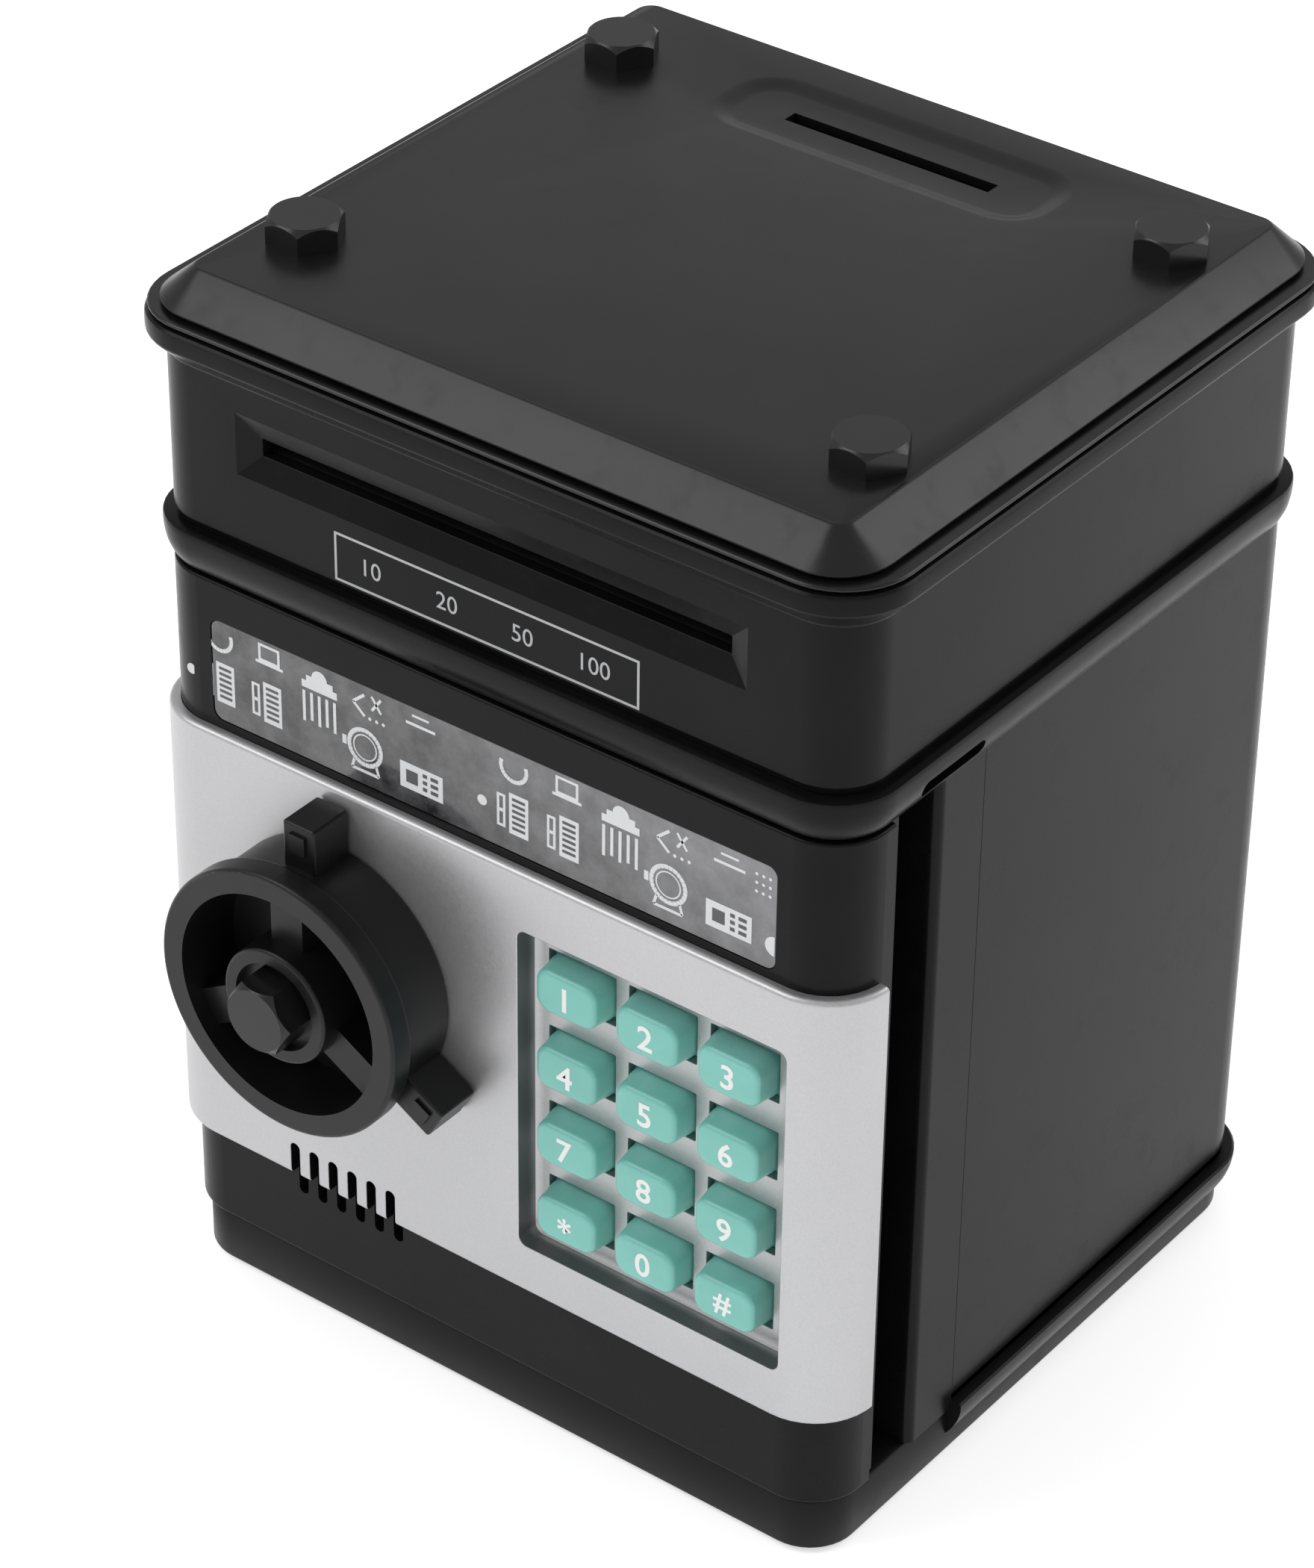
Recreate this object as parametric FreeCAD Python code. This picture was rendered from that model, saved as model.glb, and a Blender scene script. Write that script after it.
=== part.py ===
"""Toy ATM savings bank: black cabinet with a hinged front door, a banknote feeder head and a coin lid.

Frame: millimetres, +Z up, the door faces -Y, origin at the bottom centre of the overall box.
Every shape is drawn about the cabinet's own centre line and moved to the frame when it is saved.
"""
import FreeCAD
import Part
import math
import os

Vec = FreeCAD.Vector

# ---------------------------------------------------------------- driving dimensions (mm)
body_width = 130.0          # cabinet and head, across the walls
body_depth = 119.8          # cabinet and head, front wall to rear wall
front_radius = 9.2          # vertical front corners
rear_radius = 9.8           # vertical rear corners
wall = 2.2                  # moulded wall

foot_height = 1.0           # rubber feet below the plinth
foot_radius = 6.0
foot_sunk = 1.2             # depth of a foot in its seat
foot_inset = 13.0           # foot centre from the walls

plinth_height = 9.5
plinth_inset = 0.8
plinth_floor = 2.5
bead_end = 7.2              # bead's front end on the left, behind the front wall's face
bead_proud = 1.9            # bead round the plinth's sides and back
bead_low = 3.5              # bead's lower edge above the plinth's underside
bead_over = 1.5             # bead's ledge above the plinth's top

cabinet_height = 131.5      # plinth top to the ledge under the head
drawn_height = 131.5        # cabinet height that the door's features are given for
deck_rim = 7.0              # height of the deck ring that carries the head
deck_plate = 2.5
deck_step = 2.0             # ledge's top above the deck plate inside the head
ledge_proud = 1.8           # ledge round the deck
pin_slot_length = 15.5      # slot under the ledge beside the hinge
pin_slot_height = 2.7
pin_slot_low = 1.2          # slot's lower edge above the deck ring's
pin_slot_depth = 1.5
head_groove = 1.3           # height of the shadow groove between ledge and head
head_groove_depth = 0.8
groove_height = 1.0         # shadow groove over the plinth bead
groove_depth = 0.9

head_height = 34.9          # ledge to the top of the head's rim
rim_proud = 3.1
rim_face = 3.4              # straight face of the rim
rim_slope = 3.0             # sloping underside of the rim

lid_lip_gap = 0.4
lid_lip = 0.7
lid_shadow = 0.5            # groove between lip and lid
lid_rise = 5.4              # height of the lid's chamfer
lid_run_x = 5.9             # width of the chamfer at the sides
lid_run_y = 5.6             # width of the chamfer at front and back
lid_over_y = 1.0            # lid's foot over the front and rear walls
lid_flat_radius = 2.5
lid_skin = 2.4
coin_slot_length = 38.0
coin_slot_width = 2.8
coin_slot_back = 21.1       # slot's middle before the rear wall's face
coin_dish_margin_x = 12.0
coin_dish_margin_y = 8.3
coin_dish_radius = 8.0
coin_dish_slope = 3.6
coin_dish_depth = 0.8

bolt_flats = 10.9           # hexagon across flats
bolt_height = 3.9
bolt_side = 13.8            # bolt centres from the side walls' outside
bolt_end = 21.8             # and from the front and rear walls' faces
bolt_shank_radius = 2.5

door_screw_low = 8.0        # cover's screws above the door's lower end
door_screw_high = 5.0       # and below its upper end
door_gap = 0.8              # under and over the door
door_return_y = 11.4        # length of the door's side returns
door_offset = 0.3
door_cover_thickness = 1.6
cover_left_gap = 13.0       # door cover's left edge from the wall's outside
cover_right_gap = 9.5

hinge_side = 5.5            # hinge axis from the side wall's outside
hinge_back = 14.4           # hinge axis behind the front wall's face
hinge_barrel_radius = 3.0
pin_radius = 1.5
running_gap = 0.06          # radial clearance of a shaft in its hole
pin_reach = 6.0

post_front = 22.4           # hinge post's front face behind the front wall's face
post_width = 11.5
post_reach = 15.0           # inner end of the post from the side wall's outside

panel_proud = 2.2           # silver panel over the wall's face
panel_low = 18.1            # panel's lower edge above the plinth
panel_high = 97.5           # panel's upper edge above the plinth
panel_return = 8.7          # how far the panel wraps round the corners
panel_bevel = 0.9

window_width = 106.6
window_low = 98.9           # above the plinth
window_high = 117.0
window_depth = 1.0
window_thickness = 0.85
window_radius = 1.8

key_columns = 3
key_rows = 4
key_pitch_x = 15.08
key_pitch_z = 14.29
key_hole_width = 12.6
key_hole_height = 8.83
key_gap = 0.25              # key to hole, each side
key_corner = 2.9
key_left = 10.54            # first hole's left edge
key_top = 82.94              # first hole's upper edge above the plinth
key_proud = 4.4             # key above the tub's floor
key_travel = 1.5
key_flange = 0.8
key_flange_thickness = 1.1
tub_depth = 3.8             # tub's floor behind the panel's face
tub_floor = 1.5
tub_margin_left = 3.14
tub_margin_right = 3.7
tub_margin_top = 4.16
tub_margin_low = 4.04

knob_x = -27.7
knob_z = 65.5               # knob axis above the plinth
knob_ring_radius = 23.2
knob_bore_radius = 19.1
knob_body_radius = 21.9
knob_depth = 14.8           # ring's face before the panel's
knob_gap = 0.4              # knob's back to the panel
knob_lug_radius = 29.7
knob_lug_width = 6.2
knob_lug_height = 8.5
knob_lug_step = 1.6         # small block on each lug's face: inset and height
knob_hub_radius = 10.0
knob_hub_proud = 0.6        # hub's face before the ring's
knob_ring_height = 4.5
knob_web = 2.4
knob_screw_radius = 2.0
knob_seat_depth = 6.0       # shaft's front end behind the ring's face
knob_turn = 60.0            # degrees, unlocked to locked
knob_bolt_flats = 11.0
knob_bolt_height = 4.5
shaft_radius = 4.0

latch_module = 1.0
latch_teeth = 12
latch_thickness = 3.5
bolt_bar_height = 6.4
bolt_bar_right = 15.0       # bar's right end from the knob axis
latch_tip_gap = 2.5         # retracted tip inside the jamb's edge
jamb_reach = 11.0           # left jamb's edge from the side wall's outside
jamb_gap = 0.4              # behind the door's rear edge
jamb_thickness = 1.6
strike_thickness = 0.8
strike_gap = 0.4            # strike plate to the latch bolt
rivet_radius = 1.6          # strike plate's flush rivets
rail_gap = 0.3              # guide rails to the bolt
rail_height = 1.2
plunger_radius = 2.0
plunger_travel = 2.5
plunger_x = -36.0

speaker_x = -28.4
speaker_z = 21.0            # speaker axis above the plinth
speaker_radius = 11.5
speaker_height = 5.2
vent_count = 6
vent_pitch = 3.93
vent_width = 1.9
vent_low = 13.3             # above the plinth
vent_high = 24.5

note_z = 18.2               # note path above the ledge
note_slot_width = 86.0
note_slot_height = 2.9
note_mouth_width = 93.8
note_mouth_height = 10.5
note_mouth_depth = 1.6
guide_width = 88.0
guide_skin = 1.2
note_drop = 22.0            # length of the deck's note opening behind the lower guide
guide_end = 46.5            # lower guide's rear end behind the front wall's face
roller_back = 20.0          # drive shaft behind the front wall's face
roller_radius = 6.0
tyre_core_radius = 2.6
tyre_width = 8.0
tyre_x = 14.0
idler_radius = 4.5
feed_shaft_radius = 1.5
gear_module = 0.8
gear_teeth = 30
pinion_teeth = 10
gear_thickness = 3.0
motor_radius = 10.0
motor_flat = 7.5
motor_length = 23.0
motor_seat = 1.0            # motor's flat above the deck
gear_mesh_gap = 0.12        # added to the gears' centre distance

battery_radius = 7.1
battery_length = 50.0
battery_y = 10.0
battery_gap = 0.3
tray_skin = 1.5
floor_skin = 1.6

# ---------------------------------------------------------------- derived places
tall = cabinet_height / drawn_height
panel_low, panel_high = panel_low * tall, panel_high * tall
window_low, window_high = window_low * tall, window_high * tall
key_pitch_z, key_hole_height, key_top = key_pitch_z * tall, key_hole_height * tall, key_top * tall
knob_z, speaker_z = knob_z * tall, speaker_z * tall
vent_low, vent_high = vent_low * tall, vent_high * tall
half_w = body_width / 2
front = -body_depth / 2
rear = body_depth / 2
plinth_z = foot_height
sill_z = plinth_z + plinth_height
ledge_z = sill_z + cabinet_height
deck_z = ledge_z - deck_rim
rim_z = ledge_z + head_height
deck_top = ledge_z - deck_step
lip_z = rim_z + lid_lip_gap
lid_z = lip_z + lid_lip + lid_shadow
flat_z = lid_z + lid_rise
door_low = sill_z + door_gap
door_high = deck_z - door_gap
door_rear = front + door_return_y
cover_rear = door_rear + door_cover_thickness
hinge_x = half_w - hinge_side
hinge_y = front + hinge_back
bolt_x = half_w - bolt_side
bolt_y = body_depth / 2 - bolt_end
coin_slot_y = rear - coin_slot_back
post_y = front + post_front
panel_face = front - panel_proud
tub_face = panel_face + tub_depth
tub_back = tub_face + tub_floor
knob_axis_z = sill_z + knob_z
knob_back = panel_face - knob_gap
knob_front = panel_face - knob_depth
knob_hub_face = knob_front - knob_hub_proud
knob_seat = knob_front + knob_seat_depth
knob_tip = knob_hub_face - knob_bolt_height
note_path_z = ledge_z + note_z
roller_y = front + roller_back
roller_z = note_path_z - 0.1 - roller_radius
idler_z = note_path_z + 0.2 + idler_radius
latch_radius = latch_module * latch_teeth / 2
latch_travel = latch_radius * math.radians(knob_turn)
jamb_y = door_rear + jamb_gap
strike_y = jamb_y + jamb_thickness
latch_y0 = strike_y + strike_thickness + strike_gap
latch_y1 = latch_y0 + latch_thickness
rack_line = knob_axis_z + latch_radius
bar_low = rack_line + 1.2 * latch_module
bar_high = bar_low + bolt_bar_height
jamb_edge = -half_w + jamb_reach
bar_tip = jamb_edge + latch_tip_gap
frame_shift = Vec(0, -(knob_tip + rear + rim_proud) / 2, 0)


# ---------------------------------------------------------------- shape helpers
def box(x0, x1, y0, y1, z0, z1):
    """Box between two corners."""
    return Part.makeBox(x1 - x0, y1 - y0, z1 - z0, Vec(x0, y0, z0))


def rod(radius, start, end):
    """Round bar from one point to another."""
    run = Vec(*end).sub(Vec(*start))
    return Part.makeCylinder(radius, run.Length, Vec(*start), run)


def ring_wire(offset, z, front_r=None, rear_r=None, x=None, y0=None, y1=None):
    """Rounded rectangle of the body's plan, grown by offset, at height z."""
    hx = (half_w if x is None else x) + offset
    ya = (front if y0 is None else y0) - offset
    yb = (rear if y1 is None else y1) + offset
    rf = max((front_radius if front_r is None else front_r) + offset, 0.5)
    rr = max((rear_radius if rear_r is None else rear_r) + offset, 0.5)
    d = math.sqrt(0.5)
    edges = []
    corners = [(hx, ya, rf, 1, 1), (hx, yb, rr, 1, -1), (-hx, yb, rr, -1, -1), (-hx, ya, rf, -1, 1)]
    starts, mids, ends = [], [], []
    for cx, cy, r, sx, sy in corners:
        centre = Vec(cx - sx * r, cy + sy * r, z)
        along_x = Vec(cx - sx * r, cy, z)
        along_y = Vec(cx, cy + sy * r, z)
        mid = centre + Vec(sx * r * d, -sy * r * d, 0)
        first, last = (along_x, along_y) if sx * sy > 0 else (along_y, along_x)
        starts.append(first)
        mids.append(mid)
        ends.append(last)
    for i in range(4):
        edges.append(Part.Arc(starts[i], mids[i], ends[i]).toShape())
        edges.append(Part.LineSegment(ends[i], starts[(i + 1) % 4]).toShape())
    return Part.Wire(edges)


def slab(offset, z0, z1, **kw):
    """Prism of the body's plan between two heights."""
    return Part.Face(ring_wire(offset, z0, **kw)).extrude(Vec(0, 0, z1 - z0))


def flare(offset0, z0, offset1, z1):
    """Prism whose outline grows from one offset to another."""
    return Part.makeLoft([ring_wire(offset0, z0), ring_wire(offset1, z1)], True, True)


def plate_xz(x0, x1, z0, z1, y0, y1, radius):
    """Plate facing -Y with rounded corners."""
    d = radius * (1 - math.sqrt(0.5))
    r = radius
    p = [(x0 + r, z0), (x1 - r, z0), (x1 - d, z0 + d), (x1, z0 + r), (x1, z1 - r), (x1 - d, z1 - d),
         (x1 - r, z1), (x0 + r, z1), (x0 + d, z1 - d), (x0, z1 - r), (x0, z0 + r), (x0 + d, z0 + d)]
    v = [Vec(a, y0, b) for a, b in p]
    edges = [Part.LineSegment(v[0], v[1]).toShape(), Part.Arc(v[1], v[2], v[3]).toShape(),
             Part.LineSegment(v[3], v[4]).toShape(), Part.Arc(v[4], v[5], v[6]).toShape(),
             Part.LineSegment(v[6], v[7]).toShape(), Part.Arc(v[7], v[8], v[9]).toShape(),
             Part.LineSegment(v[9], v[10]).toShape(), Part.Arc(v[10], v[11], v[0]).toShape()]
    return Part.Face(Part.Wire(edges)).extrude(Vec(0, y1 - y0, 0))


def prism(points, direction):
    """Closed polygon swept along a direction."""
    v = [Vec(*p) for p in points]
    return Part.Face(Part.makePolygon(v + [v[0]])).extrude(Vec(*direction))


def soften(shape, radius, keep):
    """Fillet the edges that keep() picks, or leave the shape when none is picked."""
    edges = [e for e in shape.Edges if keep(e)]
    return shape.makeFillet(radius, edges) if edges else shape


def flat_edge(edge, z):
    """True for an edge that lies wholly at height z."""
    return abs(edge.BoundBox.ZMin - z) < 1e-4 and abs(edge.BoundBox.ZMax - z) < 1e-4


def hexagon(flats, centre, height, along):
    """Hexagonal prism; along is 'z' (up) or 'y' (towards -Y)."""
    r = flats / math.sqrt(3)
    pts = []
    for i in range(6):
        a = math.radians(60 * i)
        if along == "z":
            pts.append((centre[0] + r * math.cos(a), centre[1] + r * math.sin(a), centre[2]))
        else:
            pts.append((centre[0] + r * math.cos(a), centre[1], centre[2] + r * math.sin(a)))
    return prism(pts, (0, 0, height) if along == "z" else (0, -height, 0))


def toothed_wheel(module, teeth, thickness, thin, phase):
    """Spur wheel in the XY plane from z = 0; thin is the slack taken off each tooth, phase in degrees."""
    pitch = module * teeth / 2
    outer = pitch + 0.85 * module
    root = pitch - 1.15 * module
    pts = []
    for i in range(teeth):
        c = math.radians(phase + 360.0 * i / teeth)
        half = math.pi / (2 * teeth) - thin / (2 * pitch)
        for radius, share in ((root, 1.62), (pitch, 1.0), (outer, 0.42)):
            pts.append((radius, c - half * share))
        for radius, share in ((outer, 0.42), (pitch, 1.0), (root, 1.62)):
            pts.append((radius, c + half * share))
    return prism([(r * math.cos(a), r * math.sin(a), 0) for r, a in pts], (0, 0, thickness))


def fused(shapes):
    """One solid from several that touch."""
    first, rest = shapes[0], shapes[1:]
    return first.fuse(rest).removeSplitter() if rest else first


def save(name, shape):
    """Move a sub-part into the frame and write it."""
    moved = shape.copy()
    moved.translate(frame_shift)
    moved.exportStep("parts/" + name + ".step")


# ---------------------------------------------------------------- base
def base_plinth():
    """Plinth tray with the bead round its sides and back, foot seats, sill and battery opening."""
    body = slab(-plinth_inset, plinth_z, sill_z)
    bead_top = sill_z + bead_over
    low = plinth_z + bead_low
    rise = bead_top - 0.5 - low
    bulge = [(0.0, -plinth_inset), (0.25, 0.55), (0.5, 1.15), (0.75, 1.62), (1.0, bead_proud)]
    bands = [flare(a[1], low + a[0] * rise, b[1], low + b[0] * rise) for a, b in zip(bulge, bulge[1:])]
    lip = flare(bead_proud, bead_top - 0.5, bead_proud - 0.4, bead_top)
    bead = fused(bands + [lip])
    bead = bead.cut(slab(0.1, sill_z, bead_top + 1))
    door_room = slab(door_offset + 0.3, sill_z, bead_top + 1)
    bead = bead.cut(door_room.common(box(-half_w - 9, half_w + 9, front - 9, jamb_y, sill_z, bead_top + 1)))
    bead = bead.cut(box(-half_w - 9, half_w + 9, front - 9, front + bead_end, 0, ledge_z))
    bead = bead.cut(box(0, half_w + 9, front - 9, post_y + post_width, 0, ledge_z))
    body = body.fuse(bead)
    inner = half_w - 7.0
    body = body.cut(box(-inner, inner, hinge_y + 5, rear - 6.0, plinth_z + plinth_floor, sill_z + 1))
    body = body.cut(box(-inner + 6, inner - 10, front + 3.5, hinge_y - 4.5, plinth_z - 1, sill_z - 2.5))
    bay_x = battery_length / 2 + 2.0
    bay_y = 3 * battery_radius + 1.0
    body = body.cut(box(-bay_x, bay_x, battery_y - bay_y, battery_y + bay_y, plinth_z - 1, sill_z))
    door_step = box(-bay_x - 2, bay_x + 2, battery_y - bay_y - 2, battery_y + bay_y + 2, plinth_z - 1,
                    plinth_z + 1.6)
    body = body.cut(door_step)
    for x, y in foot_places():
        body = body.cut(rod(foot_radius + 0.1, (x, y, plinth_z - 1), (x, y, plinth_z + foot_sunk)))
    pin_hole = rod(pin_radius, (hinge_x, hinge_y, plinth_z + plinth_floor), (hinge_x, hinge_y, sill_z + 1))
    return body.cut(pin_hole).removeSplitter()


def foot_places():
    """Centres of the four feet."""
    return [(sx * (half_w - foot_inset), sy * (rear - foot_inset)) for sx in (-1, 1) for sy in (-1, 1)]


def rubber_feet():
    """Four round pads in the plinth's seats."""
    pads = []
    for x, y in foot_places():
        pad = rod(foot_radius, (x, y, 0), (x, y, plinth_z + foot_sunk))
        pads.append(soften(pad, 0.4, lambda e: flat_edge(e, 0)))
    return Part.makeCompound(pads)


def battery_cells():
    """Three AA cells lying side by side."""
    cells = []
    for i in (-1, 0, 1):
        y = battery_y + i * (2 * battery_radius + battery_gap)
        z = plinth_z + plinth_floor + battery_gap + battery_radius
        h = battery_length / 2
        can = rod(battery_radius, (-h + 1.5, y, z), (h - 2.5, y, z))
        nub = rod(2.6, (h - 2.5, y, z), (h - 1.0, y, z))
        turned = fused([soften(can, 0.6, lambda e: e.Length > 40), nub])
        if i == 0:
            turned.rotate(Vec(0, y, z), Vec(0, 0, 1), 180)
        cells.append(turned)
    return Part.makeCompound(cells)


def tray_size():
    """Half length, half width and top height of the battery tray's outside."""
    hx = battery_length / 2 + 2.0 + tray_skin
    hy = 3 * battery_radius + 1.0 + tray_skin
    top = plinth_z + plinth_floor + 2 * battery_gap + 2 * battery_radius + tray_skin
    return hx, hy, top


def battery_tray():
    """Box open downwards over the cells, standing on the plinth's floor, with cradle ribs."""
    hx, hy, top = tray_size()
    base = plinth_z + plinth_floor
    shell = box(-hx, hx, battery_y - hy, battery_y + hy, base, top)
    shell = shell.cut(box(-hx + tray_skin, hx - tray_skin, battery_y - hy + tray_skin,
                          battery_y + hy - tray_skin, base - 1, top - tray_skin))
    return shell


def battery_contacts():
    """Sprung contact plates at the ends of the cells."""
    hx = battery_length / 2 + 2.0
    plates = []
    z = plinth_z + plinth_floor + battery_gap + battery_radius
    for side in (-1, 1):
        for i in (-1, 0, 1):
            y = battery_y + i * (2 * battery_radius + battery_gap)
            x0, x1 = sorted((side * hx, side * (hx - 0.4)))
            plates.append(box(x0, x1, y - 4.5, y + 4.5, z - 5, z + 5))
    return Part.makeCompound(plates)


def battery_door():
    """Cover over the cells, flush in the underside."""
    hx = battery_length / 2 + 3.8
    hy = 3 * battery_radius + 2.8
    lid = box(-hx, hx, battery_y - hy, battery_y + hy, plinth_z, plinth_z + 1.5)
    lid = soften(lid, 2.0, lambda e: abs(e.BoundBox.ZLength - 1.5) < 1e-4)
    for i in range(5):
        x = -8 + 4 * i
        groove_y = battery_y - hy + 3
        lid = lid.cut(box(x - 0.6, x + 0.6, groove_y, groove_y + 6, plinth_z - 1, plinth_z + 0.5))
    screw_y = battery_y + hy - 4
    lid = lid.cut(rod(2.6, (0, screw_y, plinth_z - 1), (0, screw_y, plinth_z + 0.9)))
    return lid.cut(rod(1.3, (0, screw_y, plinth_z - 1), (0, screw_y, plinth_z + 3)))


def battery_screw():
    """Small pan-head screw that holds the battery door."""
    y = battery_y + 3 * battery_radius + 2.8 - 4
    head = rod(2.4, (0, y, plinth_z + 0.1), (0, y, plinth_z + 0.9))
    head = head.cut(box(-1.6, 1.6, y - 0.3, y + 0.3, plinth_z, plinth_z + 0.5))
    head = head.cut(box(-0.3, 0.3, y - 1.6, y + 1.6, plinth_z, plinth_z + 0.5))
    return fused([head, rod(1.2, (0, y, plinth_z + 0.9), (0, y, plinth_z + 1.5))])


def vault_floor():
    """Raised floor of the vault, a tray turned over the battery box."""
    top = tray_size()[2] + floor_skin
    x, y0, y1 = half_w - wall - 0.4, post_y + 3.5, rear - wall - 0.4
    outer = slab(0, sill_z, top, x=x, y0=y0, y1=y1, front_r=1.0, rear_r=rear_radius - wall)
    inner = slab(-floor_skin, sill_z - 1, top - floor_skin, x=x, y0=y0, y1=y1, front_r=1.0,
                 rear_r=rear_radius - wall)
    return outer.cut(inner)


# ---------------------------------------------------------------- cabinet
def cabinet_shell():
    """Sides, back and left jamb of the vault, open at the front, top and bottom."""
    shell = slab(0, sill_z, deck_z).cut(slab(-wall, sill_z - 1, deck_z + 1))
    shell = shell.cut(box(0, half_w + 9, front - 9, post_y + post_width + 0.25, 0, deck_z + 1))
    shell = shell.cut(box(-half_w - 9, 0, front - 9, jamb_y, 0, deck_z + 1))
    ring_z = sill_z + bead_over
    groove = slab(9, ring_z, ring_z + groove_height).cut(slab(-groove_depth, ring_z - 1, ring_z + 9))
    shell = shell.cut(groove)
    jamb = box(-half_w + wall / 2, jamb_edge, jamb_y, strike_y, sill_z, deck_z)
    jamb_rib = box(-half_w + wall / 2, -half_w + wall + 1.2, jamb_y, jamb_y + 9, sill_z, deck_z)
    return shell.fuse([jamb, jamb_rib]).removeSplitter()


def hinge_post():
    """Front post on the hinge side: outer strip and the jamb behind the hinge."""
    strip = box(half_w - wall, half_w, post_y, post_y + post_width, sill_z, deck_z)
    strip = soften(strip, 1.6, lambda e: e.BoundBox.ZLength > 50 and e.BoundBox.XMin > half_w - 0.01
                   and e.BoundBox.YMax < post_y + 0.01)
    jamb = box(half_w - post_reach, half_w - wall, post_y, post_y + 2.0, sill_z, deck_z)
    return strip.fuse(jamb).removeSplitter()


def vault_deck():
    """Deck ring under the head: flared ledge, note and coin openings, hinge boss and clearance slot."""
    edge_z = ledge_z - 0.5
    rise = edge_z - deck_z
    bulge = [(0.0, 0.06), (0.09, 0.17), (0.25, 0.56), (0.46, 0.84), (0.7, 0.97), (1.0, 1.0)]
    bands = [flare(a[1] * ledge_proud, deck_z + a[0] * rise, b[1] * ledge_proud, deck_z + b[0] * rise)
             for a, b in zip(bulge, bulge[1:])]
    deck = fused(bands + [flare(ledge_proud, edge_z, ledge_proud - 0.4, ledge_z)])
    hollow = slab(-7.0, deck_z - 1, deck_top - deck_plate)
    boss = box(hinge_x - 6, half_w, hinge_y - 6, hinge_y + 6, deck_z - 1, ledge_z - 0.5)
    deck = deck.cut(hollow.cut(boss)).cut(slab(-wall, deck_top, ledge_z + 1))
    deck = deck.cut(box(-38, 38, front + guide_end - 1, front + guide_end + note_drop, deck_z, ledge_z + 1))
    cx, cy0, cy1 = chute_size()
    deck = deck.cut(box(-cx - 0.2, cx + 0.2, cy0 - 0.2, cy1 + 0.2, deck_z, ledge_z + 1))
    slot = box(half_w - pin_slot_depth, half_w + 9, hinge_y + 1.5, hinge_y + 1.5 + pin_slot_length,
               deck_z + pin_slot_low, deck_z + pin_slot_low + pin_slot_height)
    slot = soften(slot, pin_slot_height / 2 - 0.05, lambda e: e.BoundBox.XLength > 5)
    deck = deck.cut(slot)
    hole = rod(pin_radius, (hinge_x, hinge_y, deck_z - 1), (hinge_x, hinge_y, deck_top - 1))
    return deck.cut(hole).removeSplitter()


def hinge_pins():
    """Lower and upper steel pins of the door hinge."""
    spans = [(plinth_z + plinth_floor, door_low + pin_reach), (door_high - pin_reach, deck_top - 1)]
    return Part.makeCompound([rod(pin_radius, (hinge_x, hinge_y, low), (hinge_x, hinge_y, high)) for low, high in spans])


def strike_plate():
    """Steel wear plate behind the left jamb where the latch bolt bears."""
    y = strike_y
    x0, x1 = -half_w + wall + 1.2, jamb_edge
    plate = box(x0, x1, y, y + strike_thickness, bar_low - 8, bar_high + 8)
    for z in (bar_low - 5, bar_high + 5):
        x = (x0 + x1) / 2
        head = rod(rivet_radius, (x, y + strike_thickness - 0.2, z), (x, y + strike_thickness + 1, z))
        plate = plate.cut(head.cut(rod(rivet_radius - 0.25, (x, y, z), (x, y + strike_thickness + 2, z))))
    return plate


# ---------------------------------------------------------------- head
def head_shell():
    """Head walls with the rim at the top and the banknote mouth in the front."""
    slope_z = rim_z - rim_face - rim_slope
    walls = slab(0, ledge_z, slope_z + 1)
    skirt = flare(0, slope_z, rim_proud, rim_z - rim_face)
    rim = slab(rim_proud, rim_z - rim_face, rim_z)
    rim = soften(rim, 0.8, lambda e: flat_edge(e, rim_z))
    shell = fused([walls, skirt, rim])
    groove = slab(1.0, ledge_z - 1, ledge_z + head_groove).cut(slab(-head_groove_depth, ledge_z - 2, rim_z))
    shell = shell.cut(groove).cut(slab(-wall, ledge_z - 1, rim_z + 1))
    pad = box(-note_mouth_width / 2 - 1, note_mouth_width / 2 + 1, front + wall / 2, front + 3.6,
              note_path_z - note_mouth_height / 2 - 1, note_path_z + note_mouth_height / 2 + 1)
    shell = shell.fuse(pad)
    mouth = Part.makeLoft([rect_xz(note_mouth_width, note_mouth_height, front - 0.001),
                           rect_xz(note_slot_width, note_slot_height, front + note_mouth_depth)], True, True)
    slot = box(-note_slot_width / 2, note_slot_width / 2, front + note_mouth_depth - 0.01, front + 9,
               note_path_z - note_slot_height / 2, note_path_z + note_slot_height / 2)
    return shell.cut(mouth).cut(slot).removeSplitter()


def rect_xz(width, height, y):
    """Rectangle wire facing -Y, centred on the note path."""
    x, z0, z1 = width / 2, note_path_z - height / 2, note_path_z + height / 2
    v = [Vec(-x, y, z0), Vec(x, y, z0), Vec(x, y, z1), Vec(-x, y, z1)]
    return Part.makePolygon(v + [v[0]])


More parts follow.
